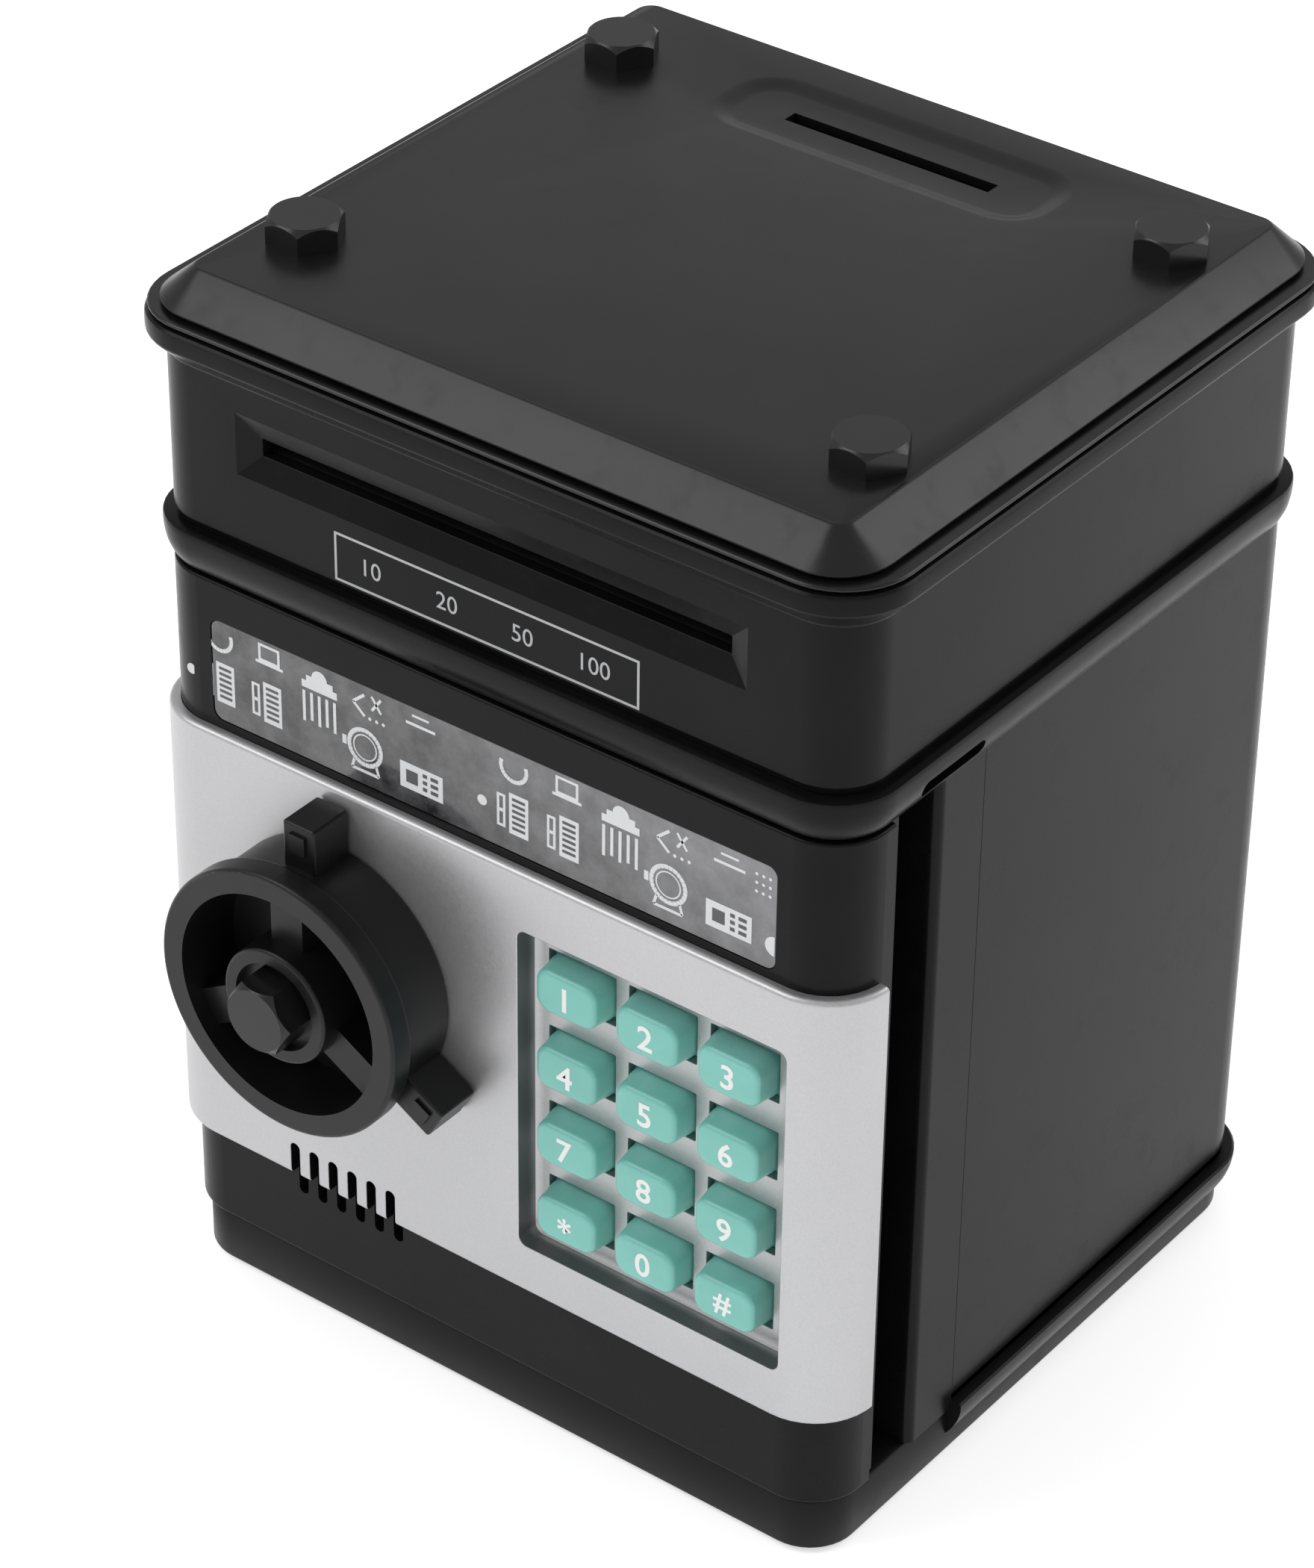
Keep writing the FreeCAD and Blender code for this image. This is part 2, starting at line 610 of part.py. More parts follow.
def lid_cover():
    """Chamfered lid with lip, shadow groove, locating skirt and coin slot in a soft dish."""
    lip = slab(rim_proud - 0.5, lip_z, lip_z + lid_lip)
    lip = soften(lip, 0.3, lambda e: flat_edge(e, lip_z + lid_lip))
    neck = slab(-0.8, rim_z, lid_z + 0.1)
    foot = {"y0": front - lid_over_y, "y1": rear + lid_over_y}
    band = slab(0, lid_z, lid_z + 0.4, **foot)
    run_y = lid_over_y - lid_run_y
    flat = {"x": half_w - lid_run_x, "y0": front - run_y, "y1": rear + run_y}
    cone = Part.makeLoft([ring_wire(0, lid_z + 0.4, **foot),
                          ring_wire(0, flat_z, front_r=lid_flat_radius, rear_r=lid_flat_radius, **flat)], True, True)
    lid = fused([lip, neck, band, cone])
    lid = lid.cut(slab(-wall - 2.0, rim_z - 1, flat_z - lid_skin, front_r=6, rear_r=6))
    skirt = slab(-wall - 0.2, rim_z - 2.5, rim_z + 0.5)
    skirt = skirt.cut(slab(-wall - 2.0, rim_z - 4, rim_z + 1, front_r=6, rear_r=6))
    lid = lid.fuse(skirt)
    for x, y in bolt_places():
        lid = lid.cut(rod(bolt_shank_radius, (x, y, flat_z - 9), (x, y, flat_z + 1)))
    hx = coin_slot_length / 2
    hy = coin_slot_width / 2
    dish = dish_cutter(hx + coin_dish_margin_x, hy + coin_dish_margin_y)
    lid = lid.cut(dish)
    slot = box(-hx, hx, coin_slot_y - hy, coin_slot_y + hy, flat_z - 9, flat_z + 1)
    return lid.cut(slot).removeSplitter()


def dish_cutter(hx, hy):
    """Shallow tapered pocket round the coin slot."""
    def outline(x, y, r, z):
        return ring_wire(0, z, front_r=r, rear_r=r, x=x, y0=coin_slot_y - y, y1=coin_slot_y + y)
    slope = coin_dish_slope
    top = outline(hx, hy, coin_dish_radius, flat_z + 0.001)
    low = outline(hx - slope, hy - slope, coin_dish_radius - slope, flat_z - coin_dish_depth)
    return Part.makeLoft([low, top], True, True)


def bolt_places():
    """Centres of the four lid bolts."""
    return [(sx * bolt_x, sy * bolt_y) for sx in (-1, 1) for sy in (-1, 1)]


def lid_bolts():
    """Four hexagon-head bolts with chamfered crowns."""
    bolts = []
    for x, y in bolt_places():
        head = hexagon(bolt_flats, (x, y, flat_z), bolt_height, "z")
        crown = Part.makeCone(bolt_flats / 2 + bolt_height, bolt_flats / 2 - 0.2, bolt_height + 0.2,
                              Vec(x, y, flat_z - 0.2), Vec(0, 0, 1))
        shank = rod(bolt_shank_radius, (x, y, flat_z - 7), (x, y, flat_z))
        bolts.append(fused([head.common(crown), shank]))
    return Part.makeCompound(bolts)


def chute_size():
    """Half width, front and rear faces of the coin chute's outside."""
    skin = 1.4
    hx = coin_slot_length / 2 + 1.5 + skin
    return hx, coin_slot_y - 3.5 - skin, coin_slot_y + 3.5 + skin


def coin_chute():
    """Rectangular duct from the coin slot down to the vault."""
    hx, y0, y1 = chute_size()
    skin = 1.4
    duct = box(-hx, hx, y0, y1, deck_z + 1, flat_z - lid_skin - 0.3)
    duct = duct.cut(box(-hx + skin, hx - skin, y0 + skin, y1 - skin, deck_z, flat_z))
    lug_z = deck_top
    lugs = [box(sx * (hx + 3) - 3, sx * (hx + 3) + 3, y0 + 2, y1 - 2, lug_z, lug_z + 1.5) for sx in (-1, 1)]
    return fused([duct] + lugs)


# ---------------------------------------------------------------- note feeder
def cheek_places():
    """Inner and outer x of the two bearing cheeks."""
    x = guide_width / 2 + 1.0
    return [(-x - 2, -x), (x, x + 2)]


def note_guide():
    """Lower guide with roller windows, rear drop lip and the two bearing cheeks."""
    hx = guide_width / 2
    z1 = note_path_z - note_slot_height / 2
    z0 = z1 - guide_skin
    y0 = front + 3.8
    y1 = front + guide_end
    plate = box(-hx, hx, y0, y1, z0, z1)
    section = [(y1, z1), (y1, z0), (y1 + 5, z0 - 7), (y1 + 6.2, z0 - 7)]
    lip = prism([(-hx, y, z) for y, z in section], (guide_width, 0, 0))
    plate = plate.fuse(lip)
    for sx in (-1, 1):
        plate = plate.cut(box(sx * tyre_x - tyre_width / 2 - 1, sx * tyre_x + tyre_width / 2 + 1,
                              roller_y - roller_radius, roller_y + roller_radius, z0 - 1, z1 + 1))
    parts = [plate]
    for x0, x1 in cheek_places():
        cheek = box(x0, x1, roller_y - 8, roller_y + 8, deck_top, idler_z + 5)
        near, far = (min(x0, -hx), 1 - hx) if x0 < 0 else (hx - 1, x1)
        web = box(near, far, roller_y - 8, roller_y + 8, z0, z1)
        inward = (x0, x1 + 4) if x0 < 0 else (x0 - 4, x1)
        foot = box(*inward, roller_y - 8, roller_y + 8, deck_top, deck_top + 1.6)
        parts += [cheek, web, foot]
    guide = fused(parts)
    for z in (roller_z, idler_z):
        guide = guide.cut(rod(feed_shaft_radius + running_gap, (-90, roller_y, z), (90, roller_y, z)))
    px, py, pz = pinion_place()
    x0, x1 = cheek_places()[1]
    bridge = box(x0, x1, roller_y + 7, py + 5.5, deck_top, pz + 5.5)
    guide = guide.fuse(bridge)
    return guide.cut(rod(3.2, (px - 30, py, pz), (px + 20, py, pz))).removeSplitter()


def note_cover():
    """Upper guide that holds the note down and turns it into the vault."""
    hx = guide_width / 2 - 1
    z0 = note_path_z + note_slot_height / 2
    z1 = z0 + guide_skin
    y0 = front + 3.8
    y1 = front + guide_end + 5
    plate = box(-hx, hx, y0, y1, z0, z1)
    flap = prism([(-hx, y1, z1), (-hx, y1, z0), (-hx, y1 + 9, z0 - 10), (-hx, y1 + 10.4, z0 - 10)],
                 (2 * hx, 0, 0))
    plate = plate.fuse(flap)
    for sx in (-1, 1):
        plate = plate.cut(box(sx * tyre_x - tyre_width / 2 - 1, sx * tyre_x + tyre_width / 2 + 1,
                              roller_y - idler_radius - 0.6, roller_y + idler_radius + 0.6, z0 - 1, z1 + 1))
    ribs = [box(sx * hx - (1.2 if sx > 0 else 0), sx * hx + (0 if sx > 0 else 1.2), y0, y1, z1 - 0.2, z1 + 2.5)
            for sx in (-1, 1)]
    plate = fused([plate] + ribs)
    plate = plate.cut(box(-hx - 1, hx + 1, roller_y - 2.3, roller_y + 2.3, z1 + 0.01, z1 + 5))
    ears = [box(x - 1.5, x + 1.5, roller_y + 9, roller_y + 14, z0, z1) for x in (-hx - 0.5, hx + 0.5)]
    return fused([plate] + ears)


def roller_shaft():
    """Steel drive shaft through both cheeks and the gear."""
    x0 = cheek_places()[0][0] - 1.5
    x1 = cheek_places()[1][1] + 1.0 + gear_thickness + 1.0
    return rod(feed_shaft_radius, (x0, roller_y, roller_z), (x1, roller_y, roller_z))


def along_x(radius, x, width, z):
    """Rod across the note path: radius, middle, width and height."""
    return rod(radius, (x - width / 2, roller_y, z), (x + width / 2, roller_y, z))


def roller_tyres():
    """Two ribbed rubber tyres on the drive shaft."""
    tyres = []
    for sx in (-1, 1):
        x = sx * tyre_x
        tyre = along_x(roller_radius, x, tyre_width, roller_z)
        tyre = soften(tyre, 0.6, lambda e: e.Length > 30)
        for i in (-1, 0, 1):
            band = along_x(roller_radius + 1, x + 2 * i, 0.6, roller_z)
            core = rod(roller_radius - 0.4, (x - 5, roller_y, roller_z), (x + 5, roller_y, roller_z))
            tyre = tyre.cut(band.cut(core))
        tyres.append(tyre.cut(along_x(feed_shaft_radius, x, 2 * tyre_width, roller_z)))
    return Part.makeCompound(tyres)


def across_x(wheel, x, y, z):
    """Turn a wheel drawn in the XY plane to spin about X and place its near face at x."""
    placed = wheel.copy()
    placed.rotate(Vec(0, 0, 0), Vec(0, 1, 0), 90)
    placed.translate(Vec(x, y, z))
    return placed


def drive_gear():
    """Gear on the drive shaft, outside the right cheek."""
    x = cheek_places()[1][1] + 1.0
    wheel = toothed_wheel(gear_module, gear_teeth, gear_thickness, 0.22, 0)
    gear = across_x(wheel, x, roller_y, roller_z)
    direction = math.degrees(math.atan2(-(pinion_place()[2] - roller_z), pinion_place()[1] - roller_y))
    gear.rotate(Vec(x, roller_y, roller_z), Vec(1, 0, 0), -90 - direction + 90)
    gear = gear.cut(rod(feed_shaft_radius, (x - 1, roller_y, roller_z), (x + 9, roller_y, roller_z)))
    for i in range(5):
        a = math.radians(72 * i + 20)
        y, z = roller_y + 6.6 * math.cos(a), roller_z + 6.6 * math.sin(a)
        gear = gear.cut(rod(2.0, (x - 1, y, z), (x + 9, y, z)))
    return gear


def pinion_place():
    """Near face x, and axis y and z, of the motor pinion."""
    reach = gear_module * (gear_teeth + pinion_teeth) / 2 + gear_mesh_gap
    z = deck_top + motor_seat + motor_flat
    drop = roller_z - z
    return cheek_places()[1][1] + 1.0, roller_y + math.sqrt(reach ** 2 - drop ** 2), z


def motor_pinion():
    """Pinion on the motor's shaft, in mesh with the drive gear."""
    x, y, z = pinion_place()
    wheel = toothed_wheel(gear_module, pinion_teeth, gear_thickness, 0.22, 180.0 / pinion_teeth)
    pinion = across_x(wheel, x, y, z)
    direction = math.degrees(math.atan2(-(z - roller_z), y - roller_y))
    pinion.rotate(Vec(x, y, z), Vec(1, 0, 0), -90 - direction + 90)
    shaft = rod(1.0, (x - 3.4, y, z), (x + gear_thickness, y, z))
    return pinion.fuse(shaft).removeSplitter()


def feed_motor():
    """Small flat-sided motor lying across the deck."""
    x, y, z = pinion_place()
    end = cheek_places()[1][0] - 0.6
    can = rod(motor_radius, (end - motor_length, y, z), (end, y, z))
    can = can.common(box(end - 40, end + 1, y - 20, y + 20, z - motor_flat, z + motor_flat))
    nose = rod(3.0, (end, y, z), (end + 1.8, y, z))
    tail = rod(2.6, (end - motor_length - 1.5, y, z), (end - motor_length, y, z))
    motor = fused([can, nose, tail])
    return motor.cut(rod(1.0 + running_gap, (end - 2.2, y, z), (end + 9, y, z)))


def motor_strap():
    """Bent metal strap that holds the motor on the deck."""
    x, y, z = pinion_place()
    mid = cheek_places()[1][0] - 0.6 - motor_length / 2
    w, t = 4.0, 0.9
    r = motor_radius + 0.05
    top = z + motor_flat + 0.05
    parts = [box(mid - w, mid + w, y - r - t, y + r + t, top, top + t)]
    for sy in (-1, 1):
        y0, y1 = sorted((y + sy * r, y + sy * (r + t)))
        parts.append(box(mid - w, mid + w, y0, y1, deck_top, top + t))
        y0, y1 = sorted((y + sy * r, y + sy * (r + 5)))
        parts.append(box(mid - w, mid + w, y0, y1, deck_top, deck_top + t))
    return fused(parts)


def head_board():
    """Circuit board of the feeder, standing on the deck behind the drop."""
    y = front + guide_end + note_drop + 3.5
    board = box(-30, 30, y, y + 1.6, deck_top + 2, deck_top + 24)
    feet = [box(x - 3, x + 3, y - 2, y + 1.6, deck_top, deck_top + 3) for x in (-24, 24)]
    chips = [box(-20, -8, y - 1.6, y, deck_top + 8, deck_top + 18),
             box(4, 10, y - 2.2, y, deck_top + 8, deck_top + 14),
             rod(3.0, (19, y, deck_top + 13), (19, y - 6.5, deck_top + 13))]
    return fused([board] + feet + chips)


# ---------------------------------------------------------------- door
def knob_rod(radius, y0, y1):
    """Rod on the knob's axis from y0 to y1."""
    return rod(radius, (knob_x, y0, knob_axis_z), (knob_x, y1, knob_axis_z))


def door_shell():
    """Door tray: front, side returns, top, bottom, hinge barrel and screw bosses."""
    outer = slab(door_offset, door_low, door_high)
    outer = soften(outer, 0.5, lambda e: flat_edge(e, door_low) or flat_edge(e, door_high))
    outer = outer.common(box(-half_w - 9, half_w + 9, front - 5, door_rear, 0, ledge_z))
    inner = slab(-wall, door_low + wall, door_high - wall)
    inner = inner.common(box(-half_w, half_w, front, door_rear + 9, 0, ledge_z))
    door = outer.cut(inner)
    web_x = hinge_x - hinge_barrel_radius
    web = box(web_x, half_w - wall / 2, door_rear - 1.5, hinge_y - 0.5, door_low, door_high)
    barrel = rod(hinge_barrel_radius, (hinge_x, hinge_y, door_low), (hinge_x, hinge_y, door_high))
    collar = knob_rod(shaft_radius + 3.0, front + wall / 2, front + 8.0)
    door = door.fuse([web, barrel, collar] + [door_boss(x, z) for x, z in door_screw_places()])
    for z0, z1 in ((door_low - 1, door_low + pin_reach + 0.5), (door_high - pin_reach - 0.5, door_high + 1)):
        door = door.cut(rod(pin_radius + running_gap, (hinge_x, hinge_y, z0), (hinge_x, hinge_y, z1)))
    door = door.cut(knob_rod(shaft_radius + running_gap, front - 9, front + 9))
    x0, x1, z0, z1 = tub_outline(tub_floor + 0.25)
    door = door.cut(box(x0, x1, front - 9, front + 6, z0, z1))
    door = door.cut(plate_xz(-window_width / 2, window_width / 2, sill_z + window_low, sill_z + window_high,
                             front - 9, front + window_depth - door_offset, window_radius))
    for cutter in vent_cutters(front - 9, front + wall + 1):
        door = door.cut(cutter)
    return door.removeSplitter()


def door_boss(x, z):
    """Screw boss between the door's front and its cover."""
    return rod(3.0, (x, front + wall / 2, z), (x, door_rear, z))


def door_screw_places():
    """Screw centres of the door's cover."""
    x0 = -half_w + cover_left_gap + 5
    x1 = half_w - cover_right_gap - 5.0
    low, high = door_low + door_screw_low, door_high - door_screw_high
    return [(x0, low), (x0, high), (x1, low), (x1, high), (0, high)]


def tub_outline(extra):
    """Left, right, lower and upper limits of the keypad tub's mouth, grown by extra."""
    x0 = key_left - tub_margin_left
    x1 = key_left + (key_columns - 1) * key_pitch_x + key_hole_width + tub_margin_right
    z1 = sill_z + key_top + tub_margin_top
    z0 = sill_z + key_top - (key_rows - 1) * key_pitch_z - key_hole_height - tub_margin_low
    return x0 - extra, x1 + extra, z0 - extra, z1 + extra


def vent_cutters(y0, y1):
    """Speaker slots."""
    cutters = []
    for i in range(vent_count):
        x = speaker_x + (i - (vent_count - 1) / 2) * vent_pitch
        cutters.append(plate_xz(x - vent_width / 2, x + vent_width / 2, sill_z + vent_low, sill_z + vent_high,
                                y0, y1, vent_width / 2 - 0.01))
    return cutters


def door_panel():
    """Silver panel that wraps both front corners, with the keypad tub sunk into it."""
    z0, z1 = sill_z + panel_low, sill_z + panel_high
    outer = slab(panel_proud, z0, z1)
    outer = soften(outer, panel_bevel, lambda e: flat_edge(e, z0) or flat_edge(e, z1))
    inner = slab(door_offset, z0 - 1, z1 + 1)
    panel = outer.cut(inner)
    panel = panel.common(box(-half_w - 9, half_w + 9, panel_face - 1, front + panel_return, 0, ledge_z))
    x0, x1, y0, y1 = tub_outline(0)
    skin = tub_floor
    tub_out = plate_xz(x0 - skin, x1 + skin, y0 - skin, y1 + skin, panel_face + 1, tub_back, 2.0)
    tub_in = plate_xz(x0, x1, y0, y1, panel_face - 1, tub_face, 1.2)
    panel = panel.fuse(tub_out).cut(tub_in)
    for row in range(key_rows):
        for column in range(key_columns):
            kx, kz = key_hole(row, column)
            hole = box(kx, kx + key_hole_width, tub_face - 1, tub_back + 1, kz, kz + key_hole_height)
            panel = panel.cut(hole)
    panel = panel.cut(knob_rod(shaft_radius + 0.5, front - 9, front + 9))
    for cutter in vent_cutters(front - 9, front + 9):
        panel = panel.cut(cutter)
    return panel.removeSplitter()


def key_hole(row, column):
    """Left and lower corner of a key's hole."""
    return key_left + column * key_pitch_x, sill_z + key_top - row * key_pitch_z - key_hole_height


def key(row, column):
    """One soft-cornered key cap with its retaining flange."""
    kx, kz = key_hole(row, column)
    x0, x1 = kx + key_gap, kx + key_hole_width - key_gap
    z0, z1 = kz + key_gap, kz + key_hole_height - key_gap
    top = tub_face - key_proud
    flange_front = tub_back + 0.2
    flange_back = flange_front + key_flange_thickness
    cap = plate_xz(x0, x1, z0, z1, top, flange_front + 0.1, key_corner)
    cap = soften(cap, 1.1, lambda e: abs(e.BoundBox.YMin - top) < 1e-4 and abs(e.BoundBox.YMax - top) < 1e-4)
    flange = box(kx - key_flange, kx + key_hole_width + key_flange, flange_front, flange_back,
                 kz - key_flange, kz + key_hole_height + key_flange)
    return cap.fuse(flange).removeSplitter()


def mat_front():
    """Front of the keypad mat's domes, clear of a key that is fully pressed."""
    return tub_back + 0.2 + key_flange_thickness + key_travel + 0.15


def keypad_mat():
    """Rubber mat with a dome behind each key."""
    x0, x1, z0, z1 = tub_outline(0.5)
    y = mat_front() + 0.9
    mat = box(x0, x1, y, y + 0.9, z0, z1)
    domes = []
    for row in range(key_rows):
        for column in range(key_columns):
            kx, kz = key_hole(row, column)
            centre = Vec(kx + key_hole_width / 2, y + 0.1, kz + key_hole_height / 2)
            domes.append(Part.makeCone(3.4, 2.2, 1.0, centre, Vec(0, -1, 0)))
    return fused([mat] + domes)


def keypad_board():
    """Keypad circuit board behind the mat."""
    x0, x1, z0, z1 = tub_outline(0.5)
    y = mat_front() + 1.8
    board = box(x0 - 1.5, x1, y, y + 1.2, z0, z1)
    chip = box(x0 + 8, x0 + 20, y + 1.2, min(y + 2.4, door_rear - 0.2), z0 + 18, z0 + 30)
    return fused([board, chip])


def window_strip():
    """Glossy printed strip let into the door above the panel."""
    y1 = front + window_depth - door_offset
    return plate_xz(-window_width / 2 + 0.15, window_width / 2 - 0.15, sill_z + window_low + 0.15,
                    sill_z + window_high - 0.15, y1 - window_thickness, y1, window_radius - 0.15)


def speaker():
    """Round speaker behind the slots."""
    y0 = front + wall + 0.2
    z = sill_z + speaker_z
    frame = rod(speaker_radius, (speaker_x, y0, z), (speaker_x, y0 + 2.0, z))
    magnet = rod(speaker_radius * 0.5, (speaker_x, y0 + 2.0, z), (speaker_x, y0 + speaker_height, z))
    wide, narrow = speaker_radius * 0.8, speaker_radius * 0.35
    cone = Part.makeCone(wide, narrow, 1.2, Vec(speaker_x, y0, z), Vec(0, 1, 0))
    return fused([frame, magnet]).cut(cone)


def door_cover():
    """Inner cover that closes the back of the door."""
    x0, x1 = -half_w + cover_left_gap, half_w - cover_right_gap
    cover = plate_xz(x0, x1, door_low + 1, door_high - 1, door_rear, cover_rear, 3.0)
    low, high = door_low + 15, door_high - 19
    rib = plate_xz(x0 + 2.5, x1 - 2.5, low, high, cover_rear - 0.1, cover_rear + 0.3, 3.0)
    rib = rib.cut(plate_xz(x0 + 4, x1 - 4, low + 1.5, high - 1.5, cover_rear - 1, cover_rear + 1, 2.0))
    cover = cover.fuse(rib)
    lx0, lx1, lz0, lz1 = latch_box()
    cover = cover.cut(box(lx0 - 0.2, lx1 + 0.2, cover_rear, cover_rear + 1, lz0 - 0.2, lz1 + 0.2))
    cover = cover.cut(knob_rod(shaft_radius + 0.4, door_rear - 1, cover_rear + 2))
    for x, z in door_screw_places():
        cover = cover.cut(rod(1.5, (x, door_rear - 1, z), (x, cover_rear + 1, z)))
    return cover.removeSplitter()


def door_screws():
    """Pan-head screws of the door's cover."""
    screws = []
    for x, z in door_screw_places():
        head = rod(2.8, (x, cover_rear, z), (x, cover_rear + 1.6, z))
        head = soften(head, 0.6, lambda e: e.BoundBox.YMin > cover_rear + 1.5)
        cross = box(x - 1.7, x + 1.7, cover_rear + 0.9, cover_rear + 2, z - 0.35, z + 0.35)
        cross = cross.fuse(box(x - 0.35, x + 0.35, cover_rear + 0.9, cover_rear + 2, z - 1.7, z + 1.7))
        shank = rod(1.5, (x, door_rear, z), (x, cover_rear, z))
        screws.append(head.cut(cross).fuse(shank))
    return Part.makeCompound(screws)


# ---------------------------------------------------------------- knob and latch
def radial_bar(width, inner, outer, y0, y1, angle):
    """Bar along a radius of the knob; angle in degrees from the viewer's right."""
    bar = box(inner, outer, y0, y1, -width / 2, width / 2)
    bar.rotate(Vec(0, 0, 0), Vec(0, 1, 0), -angle)
    bar.translate(Vec(knob_x, 0, knob_axis_z))
    return bar


def knob_wheel():
    """Deep cup-shaped wheel with three spokes that end in lugs, and a raised hub."""
    x, z = knob_x, knob_axis_z
    cup = rod(knob_body_radius, (x, knob_front + 2.5, z), (x, knob_back, z))
    ring = rod(knob_ring_radius, (x, knob_front, z), (x, knob_front + knob_ring_height, z))
    ring = soften(ring, 0.7, lambda e: e.BoundBox.ZLength > knob_ring_radius)
    wheel = cup.fuse(ring)
    wheel = wheel.cut(rod(knob_bore_radius, (x, knob_front - 1, z), (x, knob_back - knob_web, z)))
    hub = rod(knob_hub_radius, (x, knob_hub_face, z), (x, knob_back, z))
    hub = soften(hub, 0.6, lambda e: e.BoundBox.YMax < knob_front and e.Length > knob_hub_radius)
    parts = [wheel, hub]
    for angle in (90, 210, 330):
        parts.append(radial_bar(knob_lug_width, knob_hub_radius - 2, knob_bore_radius + 1, knob_front + 3.0,
                                knob_back, angle))
        lug = radial_bar(knob_lug_width, knob_body_radius - 2, knob_lug_radius, panel_face - knob_lug_height,
                         knob_back, angle)
        parts.append(soften(lug, 0.5, lambda e: e.Length > knob_lug_width - 0.1))
        face = panel_face - knob_lug_height
        parts.append(radial_bar(knob_lug_width - 2 * knob_lug_step, knob_ring_radius + knob_lug_step,
                                knob_lug_radius - knob_lug_step, face - 0.5, face + 1, angle))
    wheel = fused(parts)
    bore = rod(shaft_radius, (x, knob_seat, z), (x, knob_back + 1, z))
    well = rod(knob_hub_radius - 2.4, (x, knob_hub_face - 1, z), (x, knob_front + 1.2, z))
    screw = rod(knob_screw_radius, (x, knob_front - 2, z), (x, knob_seat + 1, z))
    return wheel.cut(bore).cut(well).cut(screw).removeSplitter()


def knob_bolt():
    """Hexagon-head bolt in the middle of the knob."""
    start = knob_front + 1.2
    height = start - knob_tip
    head = hexagon(knob_bolt_flats, (knob_x, start, knob_axis_z), height, "y")
    crown = Part.makeCone(knob_bolt_flats / 2 + height, knob_bolt_flats / 2 - 0.2, height + 0.2,
                          Vec(knob_x, start + 0.2, knob_axis_z), Vec(0, -1, 0))
    shank = rod(knob_screw_radius, (knob_x, start, knob_axis_z), (knob_x, knob_seat, knob_axis_z))
    return fused([head.common(crown), shank])


def knob_shaft():
    """Shaft from the knob through the door to the latch pinion."""
    shaft = rod(shaft_radius, (knob_x, knob_seat, knob_axis_z), (knob_x, latch_y1, knob_axis_z))
    end = rod(1.8, (knob_x, latch_y1, knob_axis_z), (knob_x, latch_y1 + 1.0, knob_axis_z))
    return shaft.fuse(end)


def latch_pinion():
    """Pinion on the knob's shaft that drives the latch bolt."""
    wheel = toothed_wheel(latch_module, latch_teeth, latch_thickness, 0.25, 0)
    wheel.rotate(Vec(0, 0, 0), Vec(1, 0, 0), -90)
    wheel.translate(Vec(knob_x, latch_y0, knob_axis_z))
    return wheel.cut(knob_rod(shaft_radius, latch_y0 - 1, latch_y1 + 1))


def latch_bolt():
    """Sliding bolt with a rack on its lower edge and a lock notch in its upper edge."""
    x1 = knob_x + bolt_bar_right
    bar = box(bar_tip, x1, latch_y0, latch_y1, bar_low, bar_high)
    pitch = math.pi * latch_module
    teeth = []
    first = -2
    for i in range(first, first + 7):
        x = knob_x + (i + 0.5) * pitch
        if x + 1.3 > x1:
            continue
        root, tip = pitch / 4 + 0.4 - 0.12, pitch / 4 - 0.42 - 0.12
        teeth.append(prism([(x - root, latch_y0, bar_low + 0.01), (x - tip, latch_y0, rack_line - 0.8 * latch_module),
                            (x + tip, latch_y0, rack_line - 0.8 * latch_module),
                            (x + root, latch_y0, bar_low + 0.01)], (0, latch_thickness, 0)))
    notch_x = plunger_x + latch_travel
    notch = box(notch_x - plunger_radius - 0.4, notch_x + plunger_radius + 0.4, latch_y0 - 1, latch_y1 + 1,
                bar_high - 2.4, bar_high + 1)
    bar = fused([bar] + teeth).cut(notch)
    return bar


def latch_box():
    """Left, right, lower and upper limits of the latch housing's outside."""
    return (jamb_edge + 5.0, knob_x + 24.0, knob_axis_z - 11.0, bar_high + 24.0)


def latch_housing():
    """Cover over the pinion, bolt and solenoid, with guide rails for the bolt."""
    x0, x1, z0, z1 = latch_box()
    skin = 1.4
    depth = latch_y1 + 1.6 + skin
    case = box(x0, x1, cover_rear, depth, z0, z1)
    case = soften(case, 1.2, lambda e: abs(e.BoundBox.YLength - (depth - cover_rear)) < 1e-3)
    case = case.cut(box(x0 + skin, x1 - skin, cover_rear - 1, depth - skin, z0 + skin, z1 - skin))
    left, near, far = x0 + skin - 0.1, latch_y1 - 2.0, depth - 0.5
    low, high = bar_low - rail_gap, bar_high + rail_gap
    case = case.cut(box(x0 - 1, x0 + skin + 1, cover_rear - 1, latch_y1 + 0.3, low, high))
    rails = [box(left, knob_x - 2.2 * latch_radius, near, far, low - rail_height, low),
             box(left, plunger_x - 8, near, far, high, high + rail_height)]
    case = fused([case] + rails)
    return case.cut(knob_rod(1.8 + running_gap, latch_y1 - 1, latch_y1 + 1.3))


def lock_solenoid():
    """Coil frame that holds the lock plunger over the bolt."""
    z0, z1 = bar_high + 6.0, bar_high + 20.0
    y0, y1 = cover_rear + 0.1, latch_y1 + 1.5
    frame = box(plunger_x - 5.5, plunger_x + 5.5, y0, y1, z0, z1)
    ym = (latch_y0 + latch_y1) / 2
    return frame.cut(rod(plunger_bore(), (plunger_x, ym, z0 - 1), (plunger_x, ym, z1 - 2.5)))


def plunger_bore():
    """Radius of the solenoid's bore."""
    return plunger_tip_radius() + running_gap


def plunger_tip_radius():
    """Plunger radius, within the bolt's thickness."""
    return min(plunger_radius, latch_thickness / 2 - 0.1)


